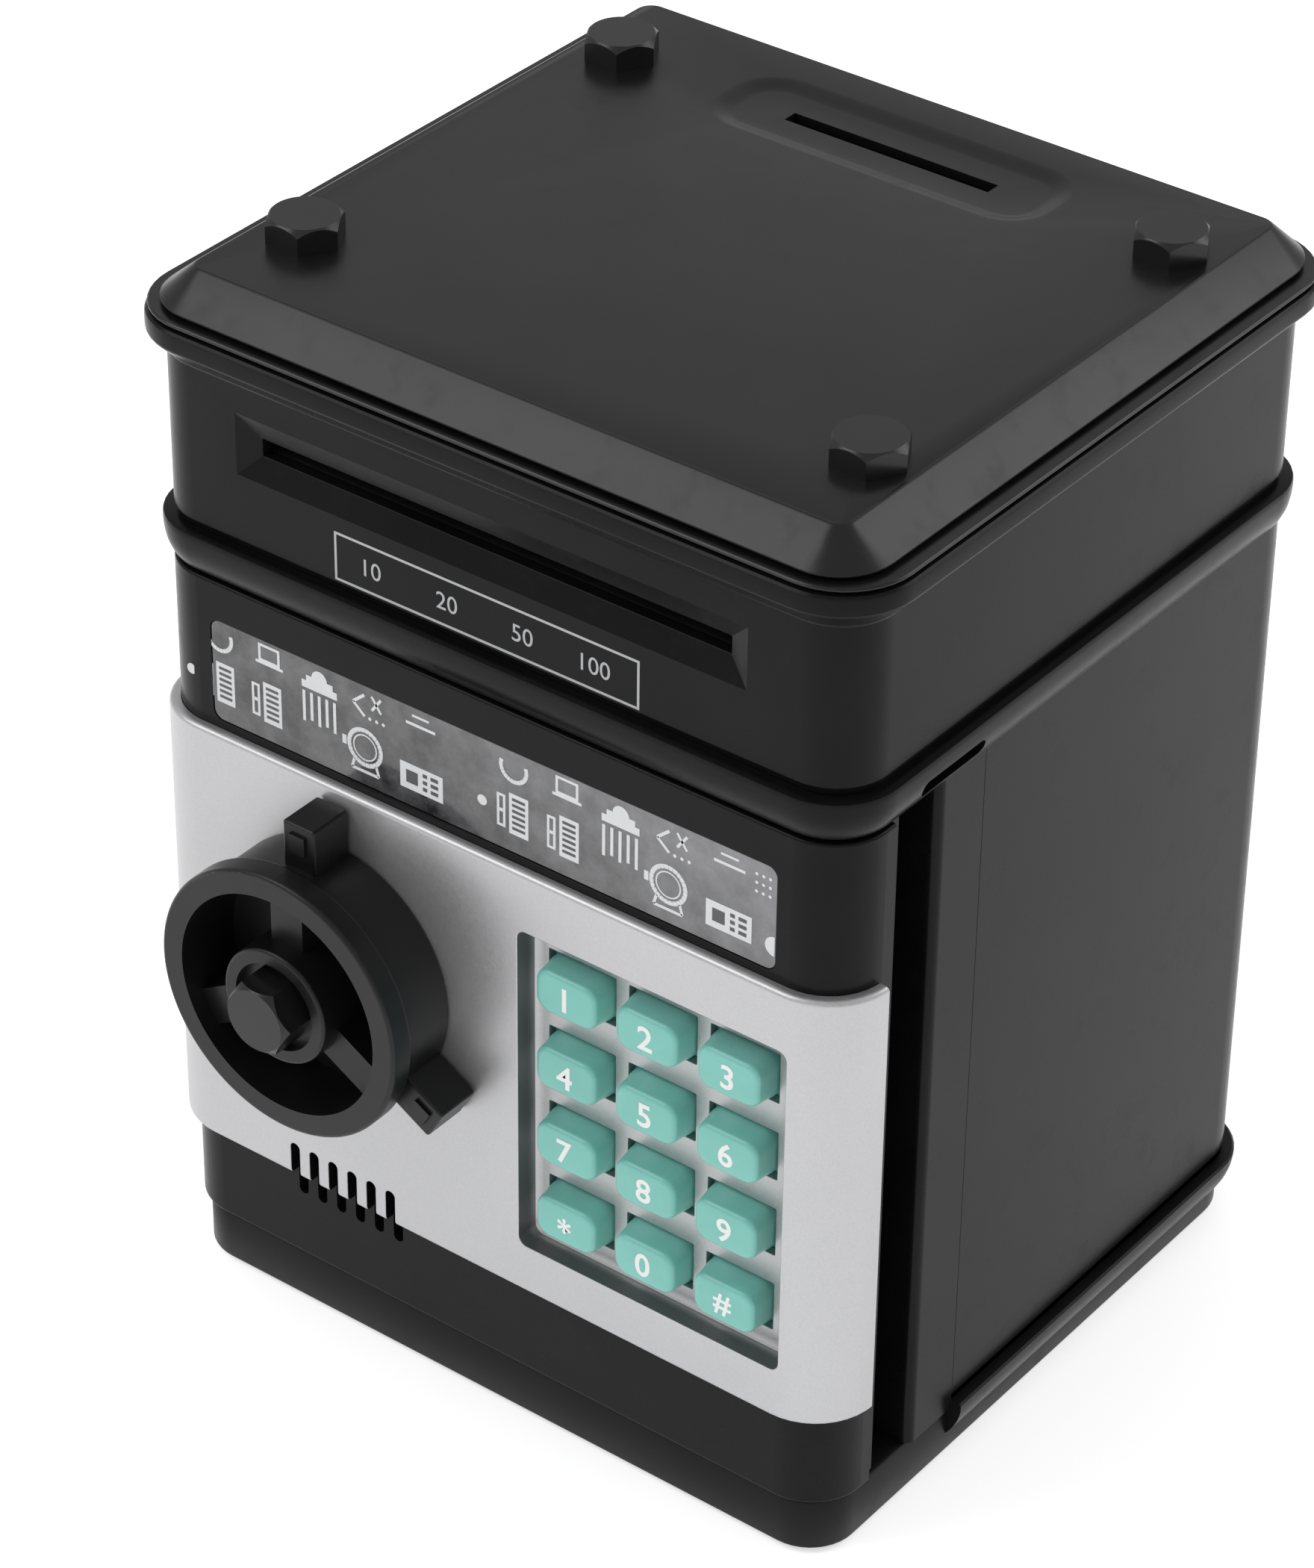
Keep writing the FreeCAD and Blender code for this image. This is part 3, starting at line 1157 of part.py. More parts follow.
def lock_plunger():
    """Plunger that rests over the bolt and drops into its notch when it is locked."""
    ym = (latch_y0 + latch_y1) / 2
    r = plunger_tip_radius()
    stem = rod(r, (plunger_x, ym, bar_high + 0.15), (plunger_x, ym, bar_high + 14.0))
    collar = rod(r + 0.6, (plunger_x, ym, bar_high + 2.0), (plunger_x, ym, bar_high + 3.0))
    return stem.fuse(collar)


# ---------------------------------------------------------------- build
key_names = [["key_1", "key_2", "key_3"], ["key_4", "key_5", "key_6"], ["key_7", "key_8", "key_9"],
             ["key_star", "key_0", "key_hash"]]


def idler_roller():
    """Free roller over the drive tyres: shaft and two wheels in one moulding."""
    x0, x1 = cheek_places()[0][0] - 1.0, cheek_places()[1][1] + 0.6
    parts = [rod(feed_shaft_radius, (x0, roller_y, idler_z), (x1, roller_y, idler_z))]
    for sx in (-1, 1):
        x = sx * tyre_x
        parts.append(along_x(idler_radius, x, tyre_width, idler_z))
    return fused(parts)


def main():
    """Build and write every sub-part."""
    os.makedirs("parts", exist_ok=True)
    makers = [base_plinth, rubber_feet, battery_cells, battery_tray, battery_contacts, battery_door, battery_screw,
              vault_floor, cabinet_shell, hinge_post, vault_deck, hinge_pins, strike_plate, head_shell, lid_cover,
              lid_bolts, coin_chute, note_guide, note_cover, roller_shaft, roller_tyres, drive_gear, motor_pinion,
              feed_motor, motor_strap, head_board, door_shell, door_panel, keypad_mat, keypad_board, window_strip,
              speaker, door_cover, door_screws, knob_wheel, knob_bolt, knob_shaft, latch_pinion, latch_bolt,
              latch_housing, lock_solenoid, lock_plunger]
    for maker in makers:
        save(maker.__name__, maker())
    save("idler_roller", idler_roller())
    for row in range(key_rows):
        for column in range(key_columns):
            save(key_names[row][column], key(row, column))

main()
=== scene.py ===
"""Looks of a toy cash-machine savings bank: black mouldings, silver keypad door, dial knob and slotted lid.

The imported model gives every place. Sizes written here are millimetres of the bank's own features, and each
piece is turned into metres of the shared frame when it is made.
"""

from __future__ import annotations

import logging
import math
from dataclasses import dataclass, field
from enum import Enum
from typing import Any, Iterable, Sequence

import bmesh
import bpy
from mathutils import Matrix, Vector

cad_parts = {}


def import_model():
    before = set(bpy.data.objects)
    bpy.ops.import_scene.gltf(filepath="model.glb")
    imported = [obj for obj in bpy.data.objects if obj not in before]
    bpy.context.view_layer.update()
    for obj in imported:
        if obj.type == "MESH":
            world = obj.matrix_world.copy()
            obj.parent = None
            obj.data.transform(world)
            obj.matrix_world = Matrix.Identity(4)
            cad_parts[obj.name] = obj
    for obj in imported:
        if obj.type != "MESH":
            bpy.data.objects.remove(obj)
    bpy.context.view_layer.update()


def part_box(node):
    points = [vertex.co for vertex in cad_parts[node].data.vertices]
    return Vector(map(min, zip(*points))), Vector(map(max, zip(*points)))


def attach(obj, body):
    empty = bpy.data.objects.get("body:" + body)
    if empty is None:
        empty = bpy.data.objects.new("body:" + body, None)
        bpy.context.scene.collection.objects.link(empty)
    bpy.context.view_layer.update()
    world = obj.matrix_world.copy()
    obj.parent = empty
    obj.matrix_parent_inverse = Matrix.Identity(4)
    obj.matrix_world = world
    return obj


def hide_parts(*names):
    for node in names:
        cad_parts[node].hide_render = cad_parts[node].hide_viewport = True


MM = 0.001
LOG = logging.getLogger("bank")
Ring = list[Vector]
Colour = tuple[float, float, float]


# ------------------------------------------------------------------------------------------- shader tools
class Value:
    """A shader socket holding one number, usable in arithmetic."""

    def __init__(self, shader: "Shader", socket: bpy.types.NodeSocket) -> None:
        """Keep the socket and the shader it belongs to."""
        self.shader = shader
        self.socket = socket

    def _math(self, operation: str, first: Any, second: Any) -> "Value":
        """Add a Math node.

        Args:
            operation: the node's operation.
            first: left operand, a Value or a number.
            second: right operand, a Value or a number.

        Returns:
            The node's result.
        """
        node = self.shader.node("ShaderNodeMath", {"operation": operation}, {0: first, 1: second})
        return Value(self.shader, node.outputs[0])

    def __add__(self, other: Any) -> "Value":
        """Return self + other."""
        return self._math("ADD", self, other)

    def __radd__(self, other: Any) -> "Value":
        """Return other + self."""
        return self._math("ADD", other, self)

    def __sub__(self, other: Any) -> "Value":
        """Return self - other."""
        return self._math("SUBTRACT", self, other)

    def __rsub__(self, other: Any) -> "Value":
        """Return other - self."""
        return self._math("SUBTRACT", other, self)

    def __mul__(self, other: Any) -> "Value":
        """Return self * other."""
        return self._math("MULTIPLY", self, other)

    def __rmul__(self, other: Any) -> "Value":
        """Return other * self."""
        return self._math("MULTIPLY", other, self)

    def __gt__(self, other: Any) -> "Value":
        """Return 1 where self is greater than other, else 0."""
        return self._math("GREATER_THAN", self, other)


class Shader:
    """One material with a Principled surface, and the few calls that build its nodes."""

    def __init__(self, name: str) -> None:
        """Start an empty node tree.

        Args:
            name: the material's name.
        """
        self.material = bpy.data.materials.new(name)
        self.material.use_nodes = True
        self.tree = self.material.node_tree
        self.tree.nodes.clear()
        self.surface = self.node("ShaderNodeBsdfPrincipled")
        output = self.node("ShaderNodeOutputMaterial")
        self.tree.links.new(self.surface.outputs[0], output.inputs["Surface"])
        coordinates = self.node("ShaderNodeTexCoord")
        self.place = coordinates.outputs["Object"]

    def node(self, kind: str, settings: dict[str, Any] | None = None,
             inputs: dict[Any, Any] | None = None) -> bpy.types.Node:
        """Add a node, set it up, then fill its sockets.

        Args:
            kind: the node's type.
            settings: attributes to set first; "ramp" holds a colour ramp's stops.
            inputs: socket name or number to a Value, a socket or a constant.

        Returns:
            The node.
        """
        made = self.tree.nodes.new(kind)
        for key, setting in (settings or {}).items():
            if key == "ramp":
                stops = made.color_ramp.elements
                while len(stops) < len(setting):
                    stops.new(1.0)
                for stop, (position, shade) in zip(stops, setting):
                    stop.position = position
                    stop.color = (shade, shade, shade, 1.0)
            else:
                setattr(made, key, setting)
        for key, source in (inputs or {}).items():
            self.feed(made.inputs[key], source)
        return made

    def feed(self, socket: bpy.types.NodeSocket, source: Any) -> None:
        """Link a Value or socket to a socket, or set its constant."""
        if isinstance(source, Value):
            source = source.socket
        if isinstance(source, bpy.types.NodeSocket):
            self.tree.links.new(source, socket)
        else:
            socket.default_value = source

    def noise(self, scale: float, detail: float = 2.0, roughness: float = 0.5) -> Value:
        """Return a noise value, its scale in cells per metre."""
        made = self.node("ShaderNodeTexNoise", {"noise_dimensions": "3D"},
                         {"Vector": self.place, "Scale": scale, "Detail": detail, "Roughness": roughness})
        return Value(self, made.outputs["Fac"])

    def spread(self, value: Value, low: float, high: float, to_low: float, to_high: float) -> Value:
        """Return value moved from the range low..high to to_low..to_high, clamped."""
        inputs = {"Value": value, "From Min": low, "From Max": high, "To Min": to_low, "To Max": to_high}
        return Value(self, self.node("ShaderNodeMapRange", {"clamp": True}, inputs).outputs["Result"])

    def blend(self, factor: Any, first: Any, second: Any) -> bpy.types.NodeSocket:
        """Return the colour between first and second."""
        made = self.node("ShaderNodeMix", {"data_type": "RGBA"})
        self.feed(made.inputs[0], factor)
        for number, colour in ((6, first), (7, second)):
            self.feed(made.inputs[number], (*colour, 1.0) if isinstance(colour, tuple) else colour)
        return made.outputs[2]

    def cover(self, colour: Any, roughness: Any, constants: dict[str, float] | None = None) -> None:
        """Feed the surface's colour and roughness, and set its constants.

        Args:
            colour: a colour, or the socket that gives it.
            roughness: a number, or the value that gives it.
            constants: numbers that are the same all over the surface, by socket name.
        """
        self.feed(self.surface.inputs["Base Color"], colour)
        self.feed(self.surface.inputs["Roughness"], roughness)
        for name, number in (constants or {}).items():
            self.surface.inputs[name].default_value = number

    def relief(self, height: Value, depth: float, strength: float = 1.0) -> None:
        """Bump the surface by height, depth in metres."""
        made = self.node("ShaderNodeBump", None, {"Height": height, "Distance": depth, "Strength": strength})
        self.feed(self.surface.inputs["Normal"], made.outputs["Normal"])


# ------------------------------------------------------------------------------------------- finishes
def shaded(colour: Colour, factor: float) -> Colour:
    """Return a colour made darker or lighter by a factor."""
    return tuple(min(c * factor, 1.0) for c in colour)


class Finish:
    """A surface finish; each kind paints its own shader, built once and shared."""

    name: str
    _made: dict[str, bpy.types.Material] = {}

    def material(self) -> bpy.types.Material:
        """Return the finish's material, building it the first time."""
        if self.name not in Finish._made:
            shader = Shader(self.name)
            self.paint(shader)
            Finish._made[self.name] = shader.material
        return Finish._made[self.name]

    def paint(self, shader: Shader) -> None:
        """Build the finish's nodes."""
        raise NotImplementedError


@dataclass(frozen=True)
class Moulding(Finish):
    """Injection-moulded plastic: a spark-eroded grain, soft flow clouding and rubbed patches."""

    name: str
    colour: Colour
    roughness: float = 0.35
    grain: float = 0.35
    grain_depth: float = 0.012
    clouding: float = 0.18
    specular: float = 0.5

    def paint(self, shader: Shader) -> None:
        """Build the grain, the clouding and the rubbed patches."""
        cloud = shader.noise(45.0, 3.0)
        rub = shader.spread(shader.noise(160.0, 6.0, 0.65), 0.52, 0.78, 0.0, 1.0)
        dark, light = shaded(self.colour, 1 - self.clouding), shaded(self.colour, 1 + self.clouding)
        tone = shader.blend(shader.spread(cloud, 0.35, 0.65, 0.0, 1.0), dark, light)
        worn = tuple(c * 1.3 + 0.002 for c in self.colour)
        shader.cover(shader.blend(rub * 0.35, tone, worn), self.roughness + rub * 0.10 - cloud * 0.04,
                     {"Specular IOR Level": self.specular})
        fine = shader.noise(1000.0 / self.grain, 2.0)
        broad = shader.noise(30.0, 1.0)
        shader.relief(fine + broad * 6.0, self.grain_depth * MM, 0.6)


@dataclass(frozen=True)
class SilverLacquer(Finish):
    """Silver lacquer on plastic: fine bright flakes in a satin coat."""

    name: str
    colour: Colour
    roughness: float = 0.34
    metallic: float = 0.75
    flake: float = 0.22

    def paint(self, shader: Shader) -> None:
        """Build the flakes and the slight orange peel."""
        cells = shader.node("ShaderNodeTexVoronoi", {"feature": "F1"},
                            {"Vector": shader.place, "Scale": 1000.0 / self.flake})
        shade = shader.node("ShaderNodeSeparateColor", None, {0: cells.outputs["Color"]})
        sparkle = Value(shader, shade.outputs[0])
        cloud = shader.noise(60.0, 3.0)
        low, high = shaded(self.colour, 0.90), shaded(self.colour, 1.07)
        tone = shader.blend(sparkle * 0.55 + cloud * 0.45, low, high)
        shader.cover(tone, self.roughness + sparkle * 0.08 + cloud * 0.03,
                     {"Metallic": self.metallic, "Coat Weight": 0.25, "Coat Roughness": 0.18})
        peel = shader.noise(900.0, 2.0)
        shader.relief(sparkle * 0.4 + peel, 0.012 * MM, 0.5)


@dataclass(frozen=True)
class Printed(Finish):
    """Screen-printed ink: nearly flat, with pinholes and a broken edge of the mesh."""

    name: str
    colour: Colour
    under: Colour

    def paint(self, shader: Shader) -> None:
        """Build the ink with its pinholes."""
        holes = shader.spread(shader.noise(5200.0, 3.0, 0.7), 0.68, 0.76, 0.0, 0.7)
        tone = shader.noise(900.0, 2.0)
        shade = shader.blend(tone, shaded(self.colour, 0.93), self.colour)
        shader.cover(shader.blend(holes, shade, self.under), 0.42 + tone * 0.1)
        shader.relief(tone - holes, 0.01 * MM, 0.5)


@dataclass(frozen=True)
class GlossFilm(Finish):
    """Glossy film over print: a grey that pales towards one end, with fine dust."""

    name: str
    colour: Colour
    pale: Colour
    start: float
    end: float

    def paint(self, shader: Shader) -> None:
        """Build the tone along the strip and up it, and the dust."""
        parts = shader.node("ShaderNodeSeparateXYZ", None, {0: shader.place})
        rise = Value(shader, parts.outputs[0]) + Value(shader, parts.outputs[2]) * 1.6 - 0.2
        along = shader.spread(rise, self.start * MM, self.end * MM, 0.0, 1.0)
        cloud = shader.spread(shader.noise(140.0, 4.0, 0.65), 0.35, 0.65, 0.0, 1.0)
        dust = shader.spread(shader.noise(4200.0, 2.0), 0.70, 0.76, 0.0, 0.5)
        tone = shader.blend(along * 0.65 + cloud * 0.35, self.colour, self.pale)
        shader.cover(shader.blend(dust, tone, (0.3, 0.3, 0.3)), 0.12 + dust * 0.4 + cloud * 0.05,
                     {"Coat Weight": 0.5, "Coat Roughness": 0.06})
        shader.relief(shader.noise(120.0, 1.0), 0.02 * MM, 0.3)


@dataclass(frozen=True)
class Metal(Finish):
    """Plain metal with a fine grain and handling marks."""

    name: str
    colour: Colour
    roughness: float = 0.28

    def paint(self, shader: Shader) -> None:
        """Build the grain and the handling marks."""
        grain = shader.noise(2600.0, 3.0)
        marks = shader.spread(shader.noise(300.0, 5.0, 0.7), 0.55, 0.8, 0.0, 1.0)
        tone = shader.blend(grain, shaded(self.colour, 0.85), self.colour)
        shader.cover(shader.blend(marks * 0.4, tone, (0.30, 0.29, 0.27)),
                     self.roughness + grain * 0.12 + marks * 0.15, {"Metallic": 1.0})
        shader.relief(grain, 0.01 * MM, 0.4)


@dataclass(frozen=True)
class CircuitBoard(Finish):
    """Green solder mask over copper tracks."""

    name: str
    mask: Colour = (0.02, 0.14, 0.06)
    copper: Colour = (0.05, 0.24, 0.10)

    def paint(self, shader: Shader) -> None:
        """Build the tracks and pads under the mask."""
        bricks = shader.node("ShaderNodeTexBrick", {"offset": 0.5},
                             {"Vector": shader.place, "Scale": 260.0, "Mortar Size": 0.012})
        track = Value(shader, bricks.outputs["Fac"])
        weave = shader.noise(700.0, 2.0)
        shader.cover(shader.blend(track + weave * 0.2, self.mask, self.copper), 0.3 + weave * 0.15)
        shader.relief(track, 0.03 * MM, 0.5)


BLACK = Moulding("black_moulding", (0.0055, 0.0055, 0.006), 0.27, 0.45, 0.006, 0.18, 0.115)
LID_BLACK = Moulding("lid_moulding", (0.006, 0.006, 0.0065), 0.30, 0.45, 0.005, 0.18, 0.34)
PLINTH_BLACK = Moulding("plinth_moulding", (0.006, 0.006, 0.0065), 0.38, 0.30, 0.015, 0.18, 0.14)
KNOB_BLACK = Moulding("knob_moulding", (0.007, 0.007, 0.0075), 0.36, 0.35, 0.010, 0.18, 0.3)
HEX_BLACK = Moulding("hexagon_moulding", (0.008, 0.008, 0.0085), 0.30, 0.35, 0.010, 0.18, 0.4)
INNER_BLACK = Moulding("inner_moulding", (0.012, 0.012, 0.013), 0.50, 0.40, 0.025)
MINT = Moulding("mint_key_moulding", (0.175, 0.490, 0.430), 0.30, 0.40, 0.006, 0.04)
RUBBER = Moulding("foot_rubber", (0.018, 0.018, 0.018), 0.75, 0.30, 0.040)
MAT_RUBBER = Moulding("mat_rubber", (0.42, 0.42, 0.43), 0.65, 0.40, 0.020, 0.06)
NATURAL = Moulding("natural_acetal", (0.72, 0.69, 0.60), 0.40, 0.40, 0.010, 0.05)
SPEAKER_GREY = Moulding("speaker_paper", (0.05, 0.05, 0.055), 0.70, 0.50, 0.050)
SLEEVE = Moulding("cell_sleeve", (0.05, 0.09, 0.20), 0.25, 0.60, 0.004, 0.05)
SILVER = SilverLacquer("silver_lacquer", (0.50, 0.50, 0.51))
# Silver darkened to grey: painted shade for the keypad tub's side walls.
PAINTED_SHADE_SILVER = SilverLacquer("painted_shade_silver", (0.13, 0.13, 0.135), 0.45, 0.6)
WHITE_INK = Printed("white_ink", (0.80, 0.81, 0.81), (0.35, 0.45, 0.45))
GREY_INK = Printed("grey_ink", (0.40, 0.41, 0.42), (0.10, 0.10, 0.11))
PALE_INK = Printed("pale_ink", (0.66, 0.67, 0.68), (0.30, 0.30, 0.31))
DARK_INK = Printed("dark_ink", (0.08, 0.08, 0.085), (0.20, 0.20, 0.21))
FILM = GlossFilm("window_film", (0.012, 0.012, 0.014), (0.25, 0.25, 0.26), -22.0, 66.0)
STEEL = Metal("bright_steel", (0.58, 0.58, 0.59))
ZINC = Metal("zinc_plate", (0.52, 0.53, 0.55), 0.36)
BOARD = CircuitBoard("circuit_board")


# ------------------------------------------------------------------------------------------- mesh tools
@dataclass(frozen=True)
class Plan:
    """Rounded rectangle seen from above, in millimetres of the frame."""

    half_x: float
    front: float
    rear: float
    front_radius: float = 9.2
    rear_radius: float = 9.8
    steps: int = 10

    def ring(self, grow: float, z: float, grow_y: float | None = None,
             radius: float | None = None) -> Ring:
        """Return the outline grown outwards at a height.

        Args:
            grow: how far the sides stand outside the plan.
            z: height.
            grow_y: how far front and back stand outside, when not the same.
            radius: corner radius, when it isn't the plan's own grown one.

        Returns:
            Points in order, counter-clockwise from above, starting at the front right corner.
        """
        out_y = grow if grow_y is None else grow_y
        x, y0, y1 = self.half_x + grow, self.front - out_y, self.rear + out_y
        front_r = max(self.front_radius + grow, 0.4) if radius is None else radius
        rear_r = max(self.rear_radius + grow, 0.4) if radius is None else radius
        corners = ((x, y0, front_r, -90), (x, y1, rear_r, 0), (-x, y1, rear_r, 90), (-x, y0, front_r, 180))
        points: Ring = []
        for corner_x, corner_y, r, start in corners:
            centre_x = corner_x - math.copysign(r, corner_x)
            centre_y = corner_y + (r if corner_y == y0 else -r)
            for step in range(self.steps + 1):
                angle = math.radians(start + 90 * step / self.steps)
                points.append(Vector((centre_x + r * math.cos(angle), centre_y + r * math.sin(angle), z)))
        return points

    def rings(self, *stations: tuple[float, float]) -> list[Ring]:
        """Return one outline for each (grown outwards, height)."""
        return [self.ring(grow, z) for grow, z in stations]


class Build:
    """A mesh in the making, in millimetres, and its last steps into a finished piece."""

    def __init__(self) -> None:
        """Start an empty mesh."""
        self.mesh = bmesh.new()

    def loop(self, points: Iterable[Vector]) -> list[bmesh.types.BMVert]:
        """Add points as vertices and return them."""
        return [self.mesh.verts.new(point) for point in points]

    def bridge(self, first: Sequence[bmesh.types.BMVert], second: Sequence[bmesh.types.BMVert]) -> None:
        """Join two closed loops of equal length with quads."""
        count = len(first)
        for i in range(count):
            j = (i + 1) % count
            self.mesh.faces.new((first[i], first[j], second[j], second[i]))

    def loft(self, rings: Sequence[Ring], closed: bool = False) -> "Build":
        """Skin a stack of rings.

        Args:
            rings: outlines of equal length, from one end to the other.
            closed: whether the last ring joins the first, as on a tube's wall; if not, both ends get a face.

        Returns:
            This build.
        """
        loops = [self.loop(ring) for ring in rings]
        for first, second in zip(loops, loops[1:]):
            self.bridge(first, second)
        if closed:
            self.bridge(loops[-1], loops[0])
        else:
            self.mesh.faces.new(list(reversed(loops[0])))
            self.mesh.faces.new(loops[-1])
        return self

    def block(self, low: Sequence[float], high: Sequence[float]) -> "Build":
        """Add a box between two corners."""
        x0, y0, z0 = low
        x1, y1, z1 = high
        outline = [Vector(p) for p in ((x0, y0, z0), (x1, y0, z0), (x1, y1, z0), (x0, y1, z0))]
        return self.loft([outline, [p + Vector((0, 0, z1 - z0)) for p in outline]])

    def plate(self, outline: Sequence[tuple[float, float]], y0: float, y1: float) -> "Build":
        """Add a flat shape facing the front: outline in X and Z, from y0 back to y1."""
        return self.loft([[Vector((x, y, z)) for x, z in outline] for y in (y1, y0)])

    def piece(self, name: str) -> bpy.types.Object:
        """Finish the mesh as a smoothly shaded object.

        Args:
            name: the piece's name.

        Returns:
            The object, in metres.
        """
        bmesh.ops.recalc_face_normals(self.mesh, faces=self.mesh.faces[:])
        if self.mesh.calc_volume(signed=True) < 0:
            bmesh.ops.reverse_faces(self.mesh, faces=self.mesh.faces[:])
        self.mesh.transform(Matrix.Scale(MM, 4))
        data = bpy.data.meshes.new(name)
        self.mesh.to_mesh(data)
        self.mesh.free()
        made = bpy.data.objects.new(name, data)
        bpy.context.scene.collection.objects.link(made)
        Dress.smooth(made)
        return made


class Dress:
    """Steps shared by every finished piece."""

    @staticmethod
    def smooth(made: bpy.types.Object, angle: float = 30.0) -> None:
        """Shade smooth, with edges over the angle kept sharp."""
        data = made.data
        data.polygons.foreach_set("use_smooth", [True] * len(data.polygons))
        data.set_sharp_from_angle(angle=math.radians(angle))

    @staticmethod
    def soften(made: bpy.types.Object, width: float, segments: int, angle: float) -> None:
        """Round the sharp edges with a bevel."""
        bevel = made.modifiers.new("soft_edges", "BEVEL")
        bevel.width = width * MM
        bevel.segments = segments
        bevel.limit_method = "ANGLE"
        bevel.angle_limit = math.radians(angle)
        bevel.harden_normals = True
        bevel.miter_outer = "MITER_ARC"

    @staticmethod
    def apply(made: bpy.types.Object) -> None:
        """Turn the piece's modifiers into its mesh."""
        graph = bpy.context.evaluated_depsgraph_get()
        data = bpy.data.meshes.new_from_object(made.evaluated_get(graph))
        data.name = made.name
        made.modifiers.clear()
        made.data = data

    @staticmethod
    def combine(made: bpy.types.Object, others: Iterable[bpy.types.Object], operation: str) -> None:
        """Cut other shapes from a piece, or unite them with it, and remove them.

        Args:
            made: the piece.
            others: shapes used once.
            operation: "DIFFERENCE" or "UNION".
        """
        shapes = list(others)
        for shape in shapes:
            change = made.modifiers.new("combine", "BOOLEAN")
            change.operation = operation
            change.solver = "EXACT"
            change.object = shape
        Dress.apply(made)
        for shape in shapes:
            bpy.data.objects.remove(shape)

    @staticmethod
    def wear(made: bpy.types.Object, finish: Finish, body: str, slot: str,
             replaces: Sequence[str] = ()) -> bpy.types.Object:
        """Give a piece its finish and its body, and hide the plain nodes it stands for.

        Args:
            made: the piece.
            finish: its finish.
            body: the body it moves with.
            slot: not used.
            replaces: the plain nodes it stands for.

        Returns:
            The piece.
        """
        made.data.materials.clear()
        made.data.materials.append(finish.material())
        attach(made, body)
        if replaces:
            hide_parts(*replaces)
        LOG.info("%s rides on %s in %s", made.name, body, finish.name)
        return made


def node_box(node: str) -> tuple[Vector, Vector]:
    """Return a node's lowest and highest corners in millimetres."""
    low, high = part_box(node)
    return low / MM, high / MM


def block(name: str, low: Sequence[float], high: Sequence[float]) -> bpy.types.Object:
    """Return a box between two corners as an object."""
    return Build().block(low, high).piece(name)


def rounded(x0: float, x1: float, z0: float, z1: float, radius: float,
            steps: int = 6) -> list[tuple[float, float]]:
    """Return a rounded rectangle as points in X and Z."""
    points = []
    for cx, cz, start in ((x1 - radius, z0 + radius, -90), (x1 - radius, z1 - radius, 0),
                          (x0 + radius, z1 - radius, 90), (x0 + radius, z0 + radius, 180)):
        for step in range(steps + 1):
            angle = math.radians(start + 90 * step / steps)
            points.append((cx + radius * math.cos(angle), cz + radius * math.sin(angle)))
    return points


# ------------------------------------------------------------------------------------------- studio
@dataclass
class Studio:
    """Pale floor, soft lights and the camera."""

    eye: tuple[float, float, float] = (411.1, -552.9, 563.6)
    right: tuple[float, float, float] = (0.79374, 0.60817, 0.00998)
    up: tuple[float, float, float] = (-0.34997, 0.44321, 0.82528)
    lens: float = 122.85
    floor_size: float = 6.0
    floor_glow: float = 0.55
    sky_strength: float = 0.6

    def camera(self) -> None:
        """Place the camera."""
        data = bpy.data.cameras.new("camera")
        data.lens = self.lens
        data.sensor_width = 36.0
        data.clip_start = 0.01
        data.clip_end = 50.0
        made = bpy.data.objects.new("camera", data)
        right, up = Vector(self.right).normalized(), Vector(self.up).normalized()
        back = right.cross(up).normalized()
        turn = Matrix((right, back.cross(right), back)).transposed().to_4x4()
        made.matrix_world = Matrix.Translation(Vector(self.eye) * MM) @ turn
        bpy.context.scene.collection.objects.link(made)
        bpy.context.scene.camera = made

    def softbox(self, name: str, place: tuple[float, float, float], size: tuple[float, float],
                power: float) -> None:
        """Add a rectangular light that faces the bank.

        Args:
            name: the light's name.
            place: its centre, in metres.
            size: its width and height, in metres.
            power: watts.
        """
        data = bpy.data.lights.new(name, "AREA")
        data.shape = "RECTANGLE"
        data.size, data.size_y = size
        data.energy = power
        made = bpy.data.objects.new(name, data)
        made.location = place
        aim = Vector((0, 0, 0.09)) - Vector(place)
        made.rotation_euler = aim.to_track_quat("-Z", "Y").to_euler()
        bpy.context.scene.collection.objects.link(made)

    def floor(self) -> None:
        """Lay the pale floor."""
        build = Build()
        half = self.floor_size / 2 / MM
        corners = ((-half, -half), (half, -half), (half, half), (-half, half))
        build.mesh.faces.new(build.loop(Vector((x, y, 0)) for x, y in corners))
        made = build.piece("studio_floor")
        shader = Shader("pale_floor")
        tone = shader.noise(3.0, 2.0)
        shade = shader.blend(tone, (0.88, 0.88, 0.88), (0.91, 0.91, 0.91))
        shader.cover(shade, 0.75 + tone * 0.1, {"Emission Strength": self.floor_glow})
        shader.surface.inputs["Emission Color"].default_value = (1.0, 1.0, 1.0, 1.0)
        made.data.materials.append(shader.material)

    def world(self) -> None:
        """Set the even light around."""
        world = bpy.data.worlds.new("studio")
        world.use_nodes = True
        sky = world.node_tree.nodes["Background"]
        sky.inputs["Color"].default_value = (1.0, 1.0, 1.0, 1.0)
        sky.inputs["Strength"].default_value = self.sky_strength
        bpy.context.scene.world = world
        bpy.context.scene.view_settings.view_transform = "Standard"

    def build(self) -> None:
        """Build the whole studio."""
        self.camera()
        self.floor()
        self.world()
        self.softbox("chamfer_light", (-0.80, -0.86, 1.27), (0.9, 0.9), 7.5)
        self.softbox("rear_light", (0.86, 1.06, 1.0), (0.7, 0.9), 5.0)
        self.softbox("front_light", (0.5, -1.6, 0.5), (0.8, 0.5), 0.5)


# ------------------------------------------------------------------------------------------- outlines
@dataclass(frozen=True)
class Station:
    """A point on the walls' outline with its outward direction."""

    point: Vector
    out: Vector

    def at(self, grow: float, z: float) -> Vector:
        """Return the point moved outwards, at a height."""
        return Vector((self.point.x + self.out.x * grow, self.point.y + self.out.y * grow, z))


